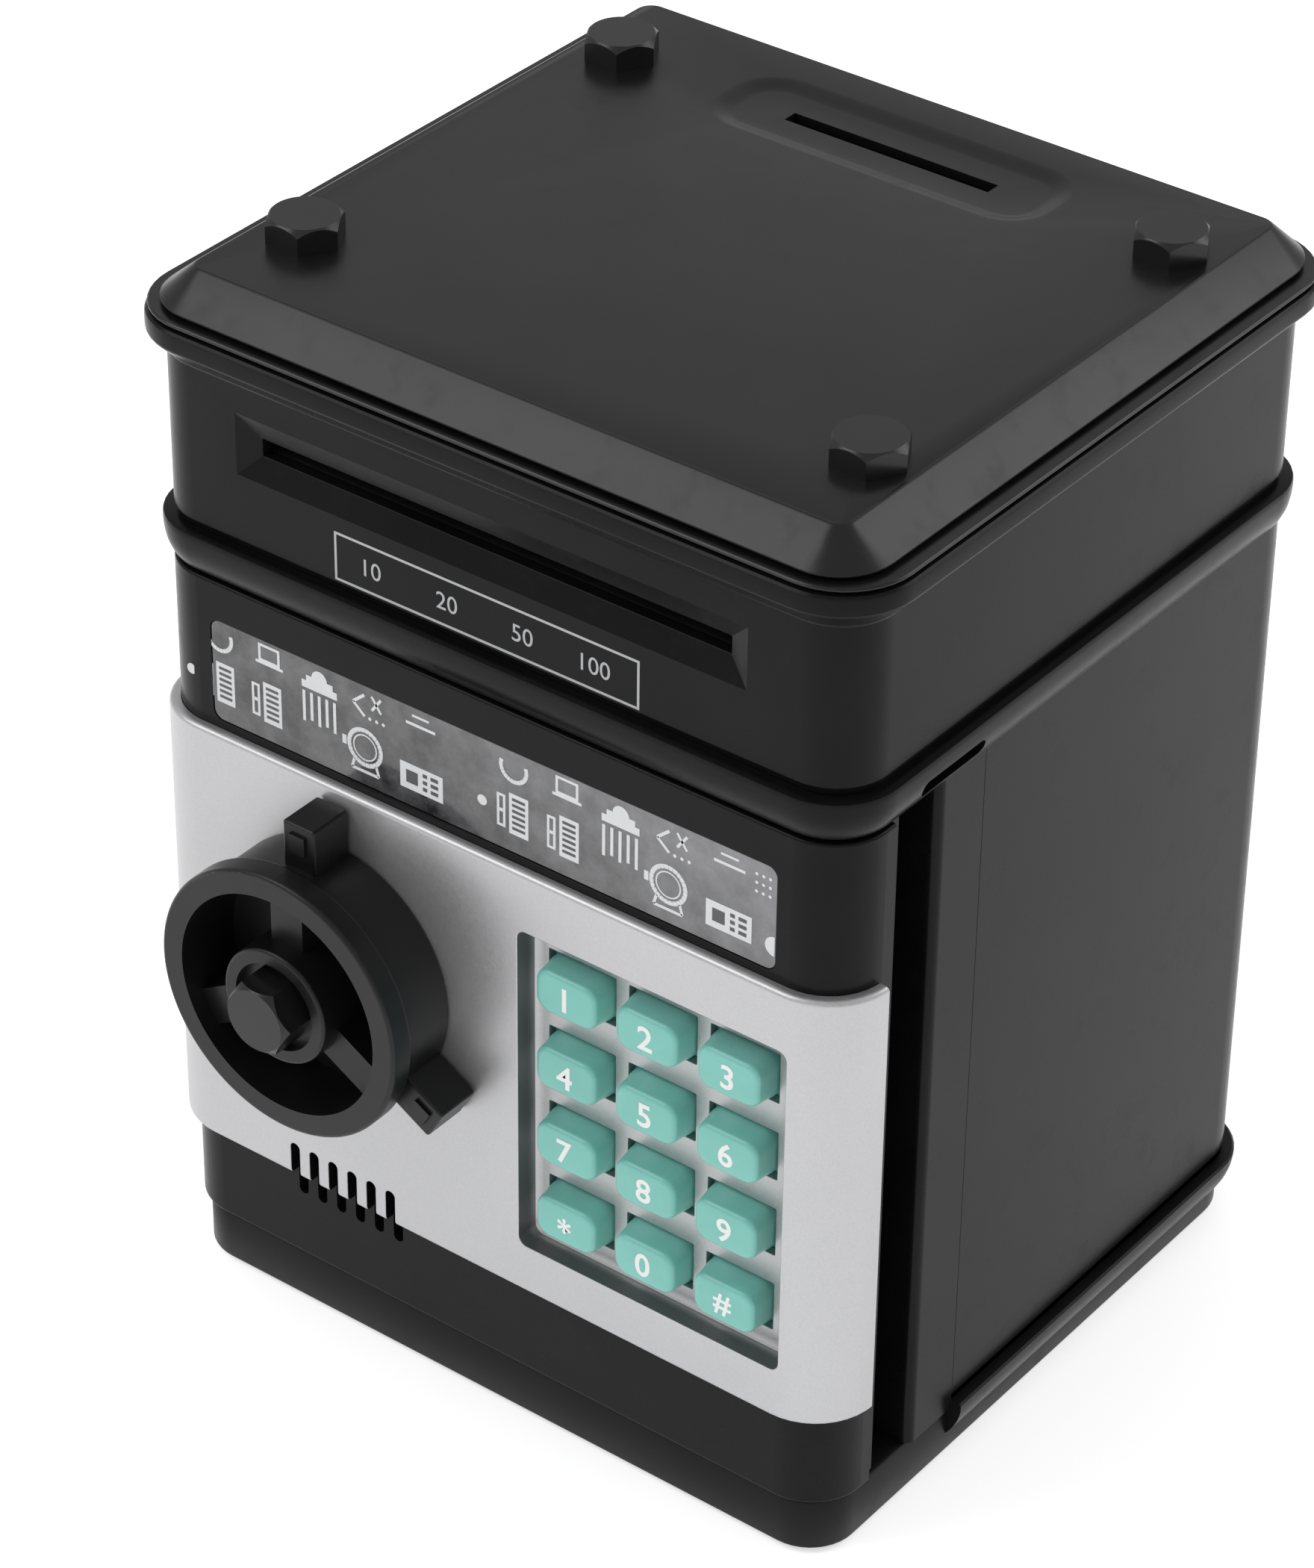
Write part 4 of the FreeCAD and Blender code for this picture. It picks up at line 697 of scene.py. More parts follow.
@dataclass(frozen=True)
class Walls:
    """The walls' outline as stations, to sweep sections along part of it."""

    plan: Plan

    def corner(self, x: float, y: float, radius: float, start: float) -> list[Station]:
        """Return the stations round one corner.

        Args:
            x: the corner's outer x.
            y: the corner's outer y.
            radius: its radius.
            start: the outward direction where it begins, in degrees.

        Returns:
            Stations over a quarter turn, counter-clockwise.
        """
        centre = Vector((x - math.copysign(radius, x), y + (radius if start in (-90, 180) else -radius), 0))
        found = []
        for step in range(self.plan.steps + 1):
            angle = math.radians(start + 90 * step / self.plan.steps)
            out = Vector((math.cos(angle), math.sin(angle), 0))
            found.append(Station(centre + out * radius, out))
        return found

    def behind(self, right_y: float, left_y: float) -> list[Station]:
        """Return the stations from the right side at right_y round the back to the left side at left_y."""
        plan = self.plan
        right, left = Vector((1, 0, 0)), Vector((-1, 0, 0))
        rear = self.corner(plan.half_x, plan.rear, plan.rear_radius, 0)
        rear += self.corner(-plan.half_x, plan.rear, plan.rear_radius, 90)
        first = Station(Vector((plan.half_x, right_y, 0)), right)
        last = Station(Vector((-plan.half_x, left_y, 0)), left)
        return [first, *rear, last]

    def before(self, left_y: float, right_y: float) -> list[Station]:
        """Return the stations from the left side at left_y round the front to the right side at right_y."""
        plan = self.plan
        right, left = Vector((1, 0, 0)), Vector((-1, 0, 0))
        front = self.corner(-plan.half_x, plan.front, plan.front_radius, 180)
        front += self.corner(plan.half_x, plan.front, plan.front_radius, -90)
        kept = [s for s in front if s.point.y < (left_y if s.point.x < 0 else right_y) - 0.2]
        first = Station(Vector((-plan.half_x, left_y, 0)), left)
        last = Station(Vector((plan.half_x, right_y, 0)), right)
        return [first, *kept, last]


def swept(path: Sequence[Station], section: Sequence[tuple[float, float]]) -> Build:
    """Sweep a closed section along stations.

    Args:
        path: the stations.
        section: corners as (outwards, height).

    Returns:
        A build holding the closed solid.
    """
    return Build().loft([[station.at(grow, z) for grow, z in section] for station in path])


# ------------------------------------------------------------------------------------------- cabinet
@dataclass
class Cabinet:
    """Plinth with its bead, vault walls and the deck ring under the head."""

    plan: Plan
    plinth_inset: float = 0.8
    bead_proud: float = 1.9
    bead_low: float = 4.5
    wall: float = 2.2
    ledge_proud: float = 1.8
    deck_step: float = 2.0
    groove_depth: float = 0.9
    groove_height: float = 1.0

    def plinth(self) -> bpy.types.Object:
        """Build the plinth tray, its bead, foot seats and battery bay."""
        low, high = node_box("base_plinth")
        sill = node_box("cabinet_shell")[0].z
        plan, inset = self.plan, -self.plinth_inset
        rings = plan.rings((inset - 0.5, low.z), (inset - 0.15, low.z + 0.15), (inset, low.z + 0.5),
                           (inset, sill - 0.6), (inset - 0.18, sill - 0.18), (inset - 0.6, sill),
                           (-6.0, sill), (-6.0, low.z + 2.5))
        tray = Build().loft(rings).piece("plinth")
        left_end = self.plan.front + 7.2
        right_end = node_box("hinge_post")[1].y
        section = [(-3.0, high.z), (self.bead_proud - 0.35, high.z), (self.bead_proud, high.z - 0.35)]
        rise = high.z - 0.7 - self.bead_low
        for step in range(1, 9):
            share = step / 8
            out = self.bead_proud - (self.bead_proud + self.plinth_inset + 0.2) * share ** 1.9
            section.append((out, high.z - 0.7 - rise * share))
        section += [(-3.0, self.bead_low)]
        band = swept(Walls(self.plan).behind(right_end, left_end), section).piece("bead")
        Dress.combine(tray, [band], "UNION")
        door_low, door_high = node_box("battery_door")
        margin = 0.2
        bay = block("bay", (door_low.x - margin, door_low.y - margin, low.z - 1),
                    (door_high.x + margin, door_high.y + margin, low.z + 1.6))
        tray_low, tray_high = node_box("battery_tray")
        hollow = block("hollow", (tray_low.x + 1.5, tray_low.y + 1.5, low.z - 1),
                       (tray_high.x - 1.5, tray_high.y - 1.5, sill))
        section = [(0.9, sill), (0.9, high.z + 1), (-4.0, high.z + 1), (-4.0, sill)]
        path = Walls(self.plan).before(left_end + 12, self.plan.front + 20)
        wall_room = swept(path, section).piece("door_room")
        Dress.combine(tray, [bay, hollow, wall_room, *self.foot_seats(low.z)], "DIFFERENCE")
        Dress.smooth(tray, 28)
        Dress.soften(tray, 0.15, 2, 45)
        return Dress.wear(tray, PLINTH_BLACK, "cabinet", "plinth_plastic", ["base_plinth"])

    def foot_seats(self, floor: float) -> list[bpy.types.Object]:
        """Return the cutters of the four round foot seats."""
        seats = []
        low, high = node_box("rubber_feet")
        radius = 6.1
        for x in (low.x + 6.0, high.x - 6.0):
            for y in (low.y + 6.0, high.y - 6.0):
                seats.append(Turned.peg("seat", radius, (x, y), floor - 1, floor + 1.2))
        return seats

    def walls(self) -> bpy.types.Object:
        """Build the vault's sides and back with the groove over the bead, and the left jamb."""
        low, high = node_box("cabinet_shell")
        ledge = node_box("base_plinth")[1].z
        groove = ledge + self.groove_height
        depth = self.groove_depth
        section = [(0, high.z), (-self.wall, high.z), (-self.wall, low.z), (0, low.z), (0, ledge),
                   (-depth, ledge), (-depth, groove - 0.3), (-depth + 0.3, groove), (-0.25, groove),
                   (0, groove + 0.25)]
        jamb_y = low.y
        path = Walls(self.plan).behind(node_box("hinge_post")[1].y + 0.04, jamb_y)
        shell = swept(path, section).piece("vault_walls")
        corner = (-self.plan.half_x + 1.1, jamb_y, low.z)
        jamb = block("jamb", corner, (-self.plan.half_x + 11.0, jamb_y + 1.6, high.z))
        rib = block("rib", corner, (-self.plan.half_x + self.wall + 1.2, jamb_y + 9, high.z))
        Dress.combine(shell, [jamb, rib], "UNION")
        Dress.smooth(shell, 28)
        Dress.soften(shell, 0.2, 2, 45)
        return Dress.wear(shell, BLACK, "cabinet", "black_plastic", ["cabinet_shell"])

    def deck(self) -> bpy.types.Object:
        """Build the flared deck ring with its ledge, note and coin openings and the slot by the hinge."""
        low, high = node_box("vault_deck")
        plan = self.plan
        top = high.z - self.deck_step
        start, proud = 0.1, self.ledge_proud
        rings = plan.rings((-7.0, top - 2.5), (-7.0, low.z), (start, low.z))
        height = high.z - 0.5 - low.z
        for step in range(1, 11):
            share = step / 10
            swell = 1 - (1 - share) ** 2.7
            rings.append(plan.ring(start + (proud - start) * swell, low.z + height * share))
        rings += plan.rings((proud - 0.12, high.z - 0.13), (proud - 0.4, high.z), (-self.wall, high.z),
                            (-self.wall, top))
        ring = Build().loft(rings).piece("deck")
        boss_low, boss_high = node_box("hinge_pins")
        hinge_x, hinge_y = (boss_low.x + boss_high.x) / 2, (boss_low.y + boss_high.y) / 2
        boss = block("boss", (hinge_x - 6, hinge_y - 6, low.z), (plan.half_x - 0.5, hinge_y + 6, top - 0.5))
        Dress.combine(ring, [boss], "UNION")
        coin_low, coin_high = node_box("coin_chute")
        note_y = node_box("note_guide")[1].y
        note = block("note", (-38, note_y - 7.2, low.z - 1), (38, note_y + 15.8, high.z + 1))
        lug = 6.0
        coin = block("coin", (coin_low.x + lug - 0.2, coin_low.y - 0.2, low.z - 1),
                     (coin_high.x - lug + 0.2, coin_high.y + 0.2, high.z + 1))
        outline = rounded(hinge_y + 1.5, hinge_y + 17, low.z + 1.2, low.z + 3.9, 1.3)
        ends = (plan.half_x - 1.5, plan.half_x + 9)
        slot = Build().loft([[Vector((x, y, z)) for y, z in outline] for x in ends]).piece("slot")
        pin = Turned.peg("pin", 1.5, (hinge_x, hinge_y), low.z - 1, top - 1)
        Dress.combine(ring, [note, coin, slot, pin], "DIFFERENCE")
        Dress.smooth(ring, 28)
        return Dress.wear(ring, BLACK, "cabinet", "black_plastic", ["vault_deck"])

    def build(self) -> None:
        """Build the cabinet."""
        self.plinth()
        self.walls()
        self.deck()


class Turned:
    """Round outlines."""

    @staticmethod
    def circle(radius: float, centre: Vector, steps: int = 40, axis: str = "z") -> Ring:
        """Return a circle.

        Args:
            radius: its radius.
            centre: its centre.
            steps: points round it.
            axis: the axis it turns about, "y" or "z".

        Returns:
            Its points in order.
        """
        points = []
        for step in range(steps):
            angle = 2 * math.pi * step / steps
            a, b = radius * math.cos(angle), radius * math.sin(angle)
            points.append(centre + (Vector((a, b, 0)) if axis == "z" else Vector((a, 0, b))))
        return points

    @staticmethod
    def peg(name: str, radius: float, place: tuple[float, float], low: float,
            high: float) -> bpy.types.Object:
        """Return an upright round peg as an object."""
        return Build().loft([Turned.circle(radius, Vector((*place, z))) for z in (low, high)]).piece(name)


# ------------------------------------------------------------------------------------------- head and lid
@dataclass
class Head:
    """Feeder head: walls with a rim, the note mouth and its printed label."""

    plan: Plan
    rim_proud: float = 3.1
    rim_face: float = 3.4
    rim_slope: float = 3.0
    wall: float = 2.2
    mouth_width: float = 93.8
    mouth_height: float = 10.5
    mouth_depth: float = 1.6
    slot_width: float = 86.0
    slot_height: float = 2.9
    groove_height: float = 1.3
    groove_depth: float = 0.8
    label_drop: float = 16.2
    label_height: float = 8.3

    def shell(self) -> bpy.types.Object:
        """Build the walls, the rim and the mouth."""
        low, high = node_box("head_shell")
        plan, proud = self.plan, self.rim_proud
        face_low = high.z - self.rim_face
        slope_low = face_low - self.rim_slope
        groove = low.z + self.groove_height
        rings = plan.rings((-self.wall, high.z), (-self.wall, low.z), (-self.groove_depth, low.z),
                           (-self.groove_depth, groove), (-0.2, groove), (0, groove + 0.2),
                           (0, slope_low - 0.3), (0.12, slope_low), (0.5, slope_low + 0.45),
                           (proud - 0.5, face_low - 0.45), (proud - 0.12, face_low), (proud, face_low + 0.35),
                           (proud, high.z - 0.9), (proud - 0.12, high.z - 0.45),
                           (proud - 0.45, high.z - 0.12), (proud - 0.9, high.z))
        shell = Build().loft(rings, closed=True).piece("head")
        middle = self.middle()
        front = plan.front
        half_w, half_h = self.mouth_width / 2, self.mouth_height / 2
        pad = block("pad", (-half_w - 1, front + self.wall / 2, middle - half_h - 1),
                    (half_w + 1, front + 3.6, middle + half_h + 1))
        Dress.combine(shell, [pad], "UNION")
        inner_w, inner_h = self.slot_width / 2, self.slot_height / 2

        def frame(x: float, z: float, y: float) -> Ring:
            """Return a rectangle round the note's path."""
            return [Vector((sx * x, y, middle + sz * z)) for sx, sz in ((-1, -1), (1, -1), (1, 1), (-1, 1))]

        slope = (half_w - inner_w) / self.mouth_depth
        outer = frame(half_w + slope, half_h + (half_h - inner_h) / self.mouth_depth, front - 1.0)
        mouth = Build().loft([outer, frame(inner_w, inner_h, front + self.mouth_depth)]).piece("mouth")
        slot = Build().loft([frame(inner_w, inner_h, y) for y in (front + 1.0, front + 9)]).piece("slot")
        Dress.combine(shell, [mouth, slot], "DIFFERENCE")
        Dress.smooth(shell, 16)
        Dress.soften(shell, 0.2, 2, 40)
        return Dress.wear(shell, BLACK, "cabinet", "black_plastic", ["head_shell"])

    def middle(self) -> float:
        """Return the height of the note's path."""
        return node_box("roller_tyres")[1].z + 0.1

    def label(self) -> bpy.types.Object:
        """Print the framed row of note values under the mouth."""
        z0 = self.middle() - self.label_drop
        z1 = z0 + self.label_height
        y = self.plan.front - 0.04
        line, half = 0.42, 28.2
        build = Build()
        for x in (-half, half - line):
            build.block((x, y, z0), (x + line, y + 0.3, z1))
        for z in (z0, z1 - line):
            build.block((-half + line, y, z), (half - line, y + 0.3, z + line))
        made = build.piece("head_label")
        middle = (z0 + z1) / 2
        places = zip(("10", "20", "50", "100"), (-21.0, -7.0, 7.0, 20.3))
        join(made, [Lettering(word, 2.9).mesh("label_" + word, Vector((x, y, middle))) for word, x in places])
        return Dress.wear(made, GREY_INK, "cabinet", "black_plastic")

    def build(self) -> None:
        """Build the head."""
        self.shell()
        self.label()


@dataclass(frozen=True)
class Lettering:
    """Plain digits as thin solid shapes that face the front."""

    text: str
    height: float
    thickness: float = 0.08
    bold: float = 0.0

    def mesh(self, name: str, centre: Vector) -> bpy.types.Object:
        """Return the digits as a mesh object.

        Args:
            name: the object's name.
            centre: middle of the digits, in millimetres; their faces lie there.

        Returns:
            The object, in metres.
        """
        curve = bpy.data.curves.new(name, "FONT")
        curve.body = self.text
        curve.size = 1.0
        curve.resolution_u = 6
        curve.extrude = 0.01
        curve.offset = self.bold
        temporary = bpy.data.objects.new(name + "_curve", curve)
        bpy.context.scene.collection.objects.link(temporary)
        graph = bpy.context.evaluated_depsgraph_get()
        data = bpy.data.meshes.new_from_object(temporary.evaluated_get(graph))
        bpy.data.objects.remove(temporary)
        xs = [v.co.x for v in data.vertices]
        ys = [v.co.y for v in data.vertices]
        middle = Vector(((min(xs) + max(xs)) / 2, (min(ys) + max(ys)) / 2, 0))
        scale = self.height / (max(ys) - min(ys))
        for vertex in data.vertices:
            flat = vertex.co - middle
            depth = self.thickness if flat.z < 0 else 0.0
            vertex.co = (centre + Vector((flat.x * scale, depth, flat.y * scale))) * MM
        made = bpy.data.objects.new(name, data)
        bpy.context.scene.collection.objects.link(made)
        Dress.smooth(made, 20)
        return made


def join(made: bpy.types.Object, others: Sequence[bpy.types.Object]) -> None:
    """Add other objects' faces to a piece and remove them."""
    mesh = bmesh.new()
    mesh.from_mesh(made.data)
    for other in others:
        mesh.from_mesh(other.data)
    mesh.to_mesh(made.data)
    mesh.free()
    for other in others:
        bpy.data.objects.remove(other)


@dataclass
class Lid:
    """Chamfered lid with its lip, shadow groove, coin slot and dish."""

    plan: Plan
    lip_proud: float = 2.6
    lip: float = 0.7
    shadow: float = 0.5
    rise: float = 5.4
    run_x: float = 5.9
    run_y: float = 5.6
    over_y: float = 1.0
    flat_radius: float = 2.5
    slot_length: float = 38.0
    slot_width: float = 2.8
    dish_margin: tuple[float, float] = (12.0, 8.3)
    dish_radius: float = 8.0
    dish_slope: float = 3.6
    dish_depth: float = 0.8
    bolt_across_flats: float = 10.9
    bolt_hole_radius: float = 2.5
    skin: float = 2.4

    def cover(self) -> bpy.types.Object:
        """Build the lid."""
        low, high = node_box("lid_cover")
        plan = self.plan
        flat = high.z
        foot = flat - self.rise
        lip_low = foot - self.shadow - self.lip
        lip_high, proud = lip_low + self.lip, self.lip_proud
        rings = [plan.ring(-4.2, z, radius=6) for z in (flat - self.skin, low.z)]
        rings += plan.rings((-2.4, low.z), (-2.4, lip_low - 0.4), (-0.8, lip_low - 0.4), (-0.8, lip_low),
                            (proud - 0.25, lip_low), (proud, lip_low + 0.2), (proud, lip_high - 0.25),
                            (proud - 0.25, lip_high), (-0.8, lip_high), (-0.8, foot))
        rings += [plan.ring(-0.15, foot, self.over_y - 0.15), plan.ring(0.0, foot + 0.15, self.over_y),
                  plan.ring(0.0, foot + 0.4, self.over_y)]
        for share, drop in ((0.02, 0.0), (0.5, 0.0), (0.955, 0.0), (0.985, 0.03), (1.02, 0.0)):
            radius = plan.front_radius + (self.flat_radius - plan.front_radius) * min(share, 1.0)
            z = min(foot + 0.4 + (self.rise - 0.4) * share - drop, flat)
            rings.append(plan.ring(-self.run_x * share, z, self.over_y - self.run_y * share, radius))
        lid = Build().loft(rings).piece("lid")
        chute_low, chute_high = node_box("coin_chute")
        slot_y = (chute_low.y + chute_high.y) / 2
        half, thin = self.slot_length / 2, self.slot_width / 2
        slot = block("coin_slot", (-half, slot_y - thin, flat - 9), (half, slot_y + thin, flat + 1))
        Dress.combine(lid, [self.dish(slot_y, flat), slot, *self.bolt_holes(flat)], "DIFFERENCE")
        Dress.smooth(lid, 24)
        Dress.soften(lid, 0.35, 3, 24)
        return Dress.wear(lid, LID_BLACK, "cabinet", "black_plastic", ["lid_cover"])

    def dish(self, slot_y: float, flat: float) -> bpy.types.Object:
        """Return the cutter of the soft dish round the coin slot."""
        half_x = self.slot_length / 2 + self.dish_margin[0]
        half_y = self.slot_width / 2 + self.dish_margin[1]
        rings = []
        profile = ((0.0, -1.0), (0.0, 0.0), (0.12, 0.05), (0.3, 0.2), (0.5, 0.4), (0.7, 0.6), (0.88, 0.75),
                   (1.0, 0.8))
        for share, depth in profile:
            inset = self.dish_slope * share
            radius = self.dish_radius - inset
            plan = Plan(half_x - inset, slot_y - half_y + inset, slot_y + half_y - inset, radius, radius, 8)
            rings.append(plan.ring(0, flat - depth * self.dish_depth / 0.8))
        return Build().loft(list(reversed(rings))).piece("dish")

    def bolt_holes(self, flat: float) -> list[bpy.types.Object]:
        """Return the cutters of the four bolt holes."""
        low, high = node_box("lid_bolts")
        half_ac, half_af = self.bolt_across_flats / math.sqrt(3), self.bolt_across_flats / 2
        return [Turned.peg("bolt_hole", self.bolt_hole_radius, (x, y), flat - 9, flat + 1)
                for x in (low.x + half_ac, high.x - half_ac) for y in (low.y + half_af, high.y - half_af)]

    def build(self) -> None:
        """Build the lid."""
        self.cover()


# ------------------------------------------------------------------------------------------- door
@dataclass
class DoorFace:
    """Silver panel with its keypad tub, speaker slots and knob hole."""

    plan: Plan
    proud: float = 2.2
    inner: float = 0.3
    bevel: float = 0.9
    tub_floor: float = 1.5
    tub_depth: float = 3.8
    key_hole: tuple[float, float] = (12.6, 8.83)

    def panel(self) -> bpy.types.Object:
        """Build the panel."""
        low, high = node_box("door_panel")
        outer, inner, b = self.proud, self.inner, self.bevel
        section = [(inner, low.z), (outer - b, low.z)]
        for step in range(1, 5):
            angle = math.radians(90 * step / 4)
            section.append((outer - b + b * math.sin(angle), low.z + b - b * math.cos(angle)))
        for step in range(0, 5):
            angle = math.radians(90 * step / 4)
            section.append((outer - b + b * math.cos(angle), high.z - b + b * math.sin(angle)))
        section.append((inner, high.z))
        side_end = self.plan.front + 8.7
        panel = swept(Walls(self.plan).before(side_end, side_end), section).piece("silver_panel")
        keys = [node_box(f"key_{k}") for k in (1, 3, "hash")]
        flange = 0.8
        hole_x0, hole_x1 = keys[0][0].x + flange, keys[1][1].x - flange
        hole_z0, hole_z1 = keys[2][0].z + flange, keys[0][1].z - flange
        x0, x1, z0, z1 = hole_x0 - 3.14, hole_x1 + 3.7, hole_z0 - 4.04, hole_z1 + 4.16
        face = self.plan.front - self.proud
        floor = face + self.tub_depth
        back = floor + self.tub_floor
        edge = self.tub_floor
        outline = rounded(x0 - edge, x1 + edge, z0 - edge, z1 + edge, 2.0)
        tub = Build().plate(outline, face + 1, back).piece("tub")
        Dress.combine(panel, [tub], "UNION")
        rings = []
        for deep, shrink in ((-1, 0.0), (2.2, 0.0), (2.9, 0.25), (3.4, 0.7), (3.7, 1.4),
                             (self.tub_depth, 2.2)):
            y = face + deep
            outline = rounded(x0 + shrink, x1 - shrink, z0 + shrink, z1 - shrink, 1.6)
            rings.append([Vector((x, y, z)) for x, z in outline])
        hollow = Build().loft(rings).piece("hollow")
        cutters = [hollow]
        width, height = self.key_hole
        for row in range(4):
            for column in range(3):
                kx = hole_x0 + column * (hole_x1 - hole_x0 - width) / 2
                kz = hole_z0 + row * (hole_z1 - hole_z0 - height) / 3
                cutters.append(block("hole", (kx, floor - 1, kz), (kx + width, back + 1, kz + height)))
        knob_low, knob_high = node_box("knob_shaft")
        axis = (knob_low + knob_high) / 2
        ends = [Vector((axis.x, y, axis.z)) for y in (face - 2, back + 3)]
        cutters.append(Build().loft([Turned.circle(4.5, end, axis="y") for end in ends]).piece("bore"))
        cutters += self.slots(face)
        Dress.combine(panel, cutters, "DIFFERENCE")
        Dress.smooth(panel, 28)
        Dress.soften(panel, 0.18, 2, 50)
        Dress.apply(panel)
        Dress.wear(panel, SILVER, "door", "silver_paint", ["door_panel"])
        self.shade(panel, floor, (x0, x1, z0, z1))
        return panel

    def shade(self, panel: bpy.types.Object, floor: float, tub: tuple[float, float, float, float]) -> None:
        """Paint the slots' walls black and the tub's side walls a darker silver, both painted shade in their
        recesses.
        """
        panel.data.materials.append(BLACK.material())
        panel.data.materials.append(PAINTED_SHADE_SILVER.material())
        speaker = node_box("speaker")
        face = self.plan.front - self.proud
        for polygon in panel.data.polygons:
            centre = polygon.center / MM
            inward = centre.y > face + 0.25
            # Slot walls in the silver panel take the black moulding: painted shade inside the slots.
            if inward and centre.x < speaker[1].x and centre.z < speaker[1].z and abs(polygon.normal.y) < 0.6:
                polygon.material_index = 1
            x0, x1, z0, z1 = tub
            inside = x0 - 0.1 < centre.x < x1 + 0.1 and z0 - 0.1 < centre.z < z1 + 0.1
            # Tub side walls take the darkened silver: painted shade in the keypad recess.
            if inside and face + 0.2 < centre.y < floor - 0.5:
                polygon.material_index = 2

    def slots(self, face: float) -> list[bpy.types.Object]:
        """Return the cutters of the speaker slots."""
        low, high = node_box("speaker")
        middle = (low.x + high.x) / 2
        bottom = node_box("door_panel")[0].z - 4.8
        pitch, width, length, count = 3.93, 1.9, 11.2, 6
        cutters = []
        for i in range(count):
            x = middle + (i - (count - 1) / 2) * pitch
            outline = rounded(x - width / 2, x + width / 2, bottom, bottom + length, width / 2 - 0.01)
            cutters.append(Build().plate(outline, face - 2, face + 9).piece("slot"))
        return cutters

    def build(self) -> None:
        """Build the panel."""
        self.panel()


class Key(Enum):
    """The twelve keys, by node and print."""

    ONE = ("key_1", "1")
    TWO = ("key_2", "2")
    THREE = ("key_3", "3")
    FOUR = ("key_4", "4")
    FIVE = ("key_5", "5")
    SIX = ("key_6", "6")
    SEVEN = ("key_7", "7")
    EIGHT = ("key_8", "8")
    NINE = ("key_9", "9")
    STAR = ("key_star", "*")
    ZERO = ("key_0", "0")
    HASH = ("key_hash", "#")

    @property
    def node(self) -> str:
        """Return the key's node and body."""
        return self.value[0]

    @property
    def mark(self) -> str:
        """Return what is printed on the key."""
        return self.value[1]


@dataclass
class Keypad:
    """Twelve pillow-topped keys with printed marks."""

    flange: float = 0.8
    flange_thickness: float = 1.1
    gap: float = 0.25
    taper: float = 0.35
    edge: float = 0.9
    crown: float = 0.12
    mark_height: float = 4.3

    def cap(self, key: Key) -> bpy.types.Object:
        """Build one key: flange, tapered sides, rounded edge and crowned face."""
        low, high = node_box(key.node)
        x0, x1 = low.x + self.flange + self.gap, high.x - self.flange - self.gap
        z0, z1 = low.z + self.flange + self.gap, high.z - self.flange - self.gap
        face = low.y + self.crown
        flange_front = high.y - self.flange_thickness

        def outline(shrink: float, y: float, radius: float) -> Ring:
            """Return the cap's outline shrunk and set at a depth."""
            corners = rounded(x0 + shrink, x1 - shrink, z0 + shrink, z1 - shrink, radius, 7)
            return [Vector((x, y, z)) for x, z in corners]

        outer = self.flange + self.gap
        rings = [outline(-outer, high.y, 1.0), outline(-outer, flange_front, 1.0),
                 outline(0, flange_front, 2.4), outline(0.03, flange_front - 2.0, 2.4),
                 outline(self.taper * 0.6, face + 2.6, 2.4)]
        for step in range(0, 7):
            angle = math.radians(15 * step)
            shrink = self.taper + self.edge * (1 - math.cos(angle))
            radius = 2.4 - 0.5 * (1 - math.cos(angle))
            rings.append(outline(shrink, face + self.edge * (1 - math.sin(angle)), radius))
        middle_x, middle_z = (x0 + x1) / 2, (z0 + z1) / 2
        rim = rings[-1]
        for share in (0.82, 0.6, 0.35, 0.12):
            y = face - self.crown * (1 - share * share)
            rings.append([Vector((middle_x + (p.x - middle_x) * share, y,
                                  middle_z + (p.z - middle_z) * share)) for p in rim])
        made = Build().loft(rings).piece(key.node + "_cap")
        Dress.smooth(made, 40)
        return Dress.wear(made, MINT, key.node, "key_mint", [key.node])

    def print(self, key: Key) -> bpy.types.Object:
        """Print the key's mark on its crowned face."""
        low, high = node_box(key.node)
        middle = (low + high) / 2
        height = {"*": 2.9, "#": 4.0}.get(key.mark, self.mark_height)
        lettering = Lettering(key.mark, height, thickness=0.3, bold=0.018)
        made = lettering.mesh(key.node + "_print", Vector((middle.x, low.y - 0.02, middle.z)))
        return Dress.wear(made, WHITE_INK, key.node, "key_mint")

    def build(self) -> None:
        """Build every key."""
        for key in Key:
            self.cap(key)
            self.print(key)


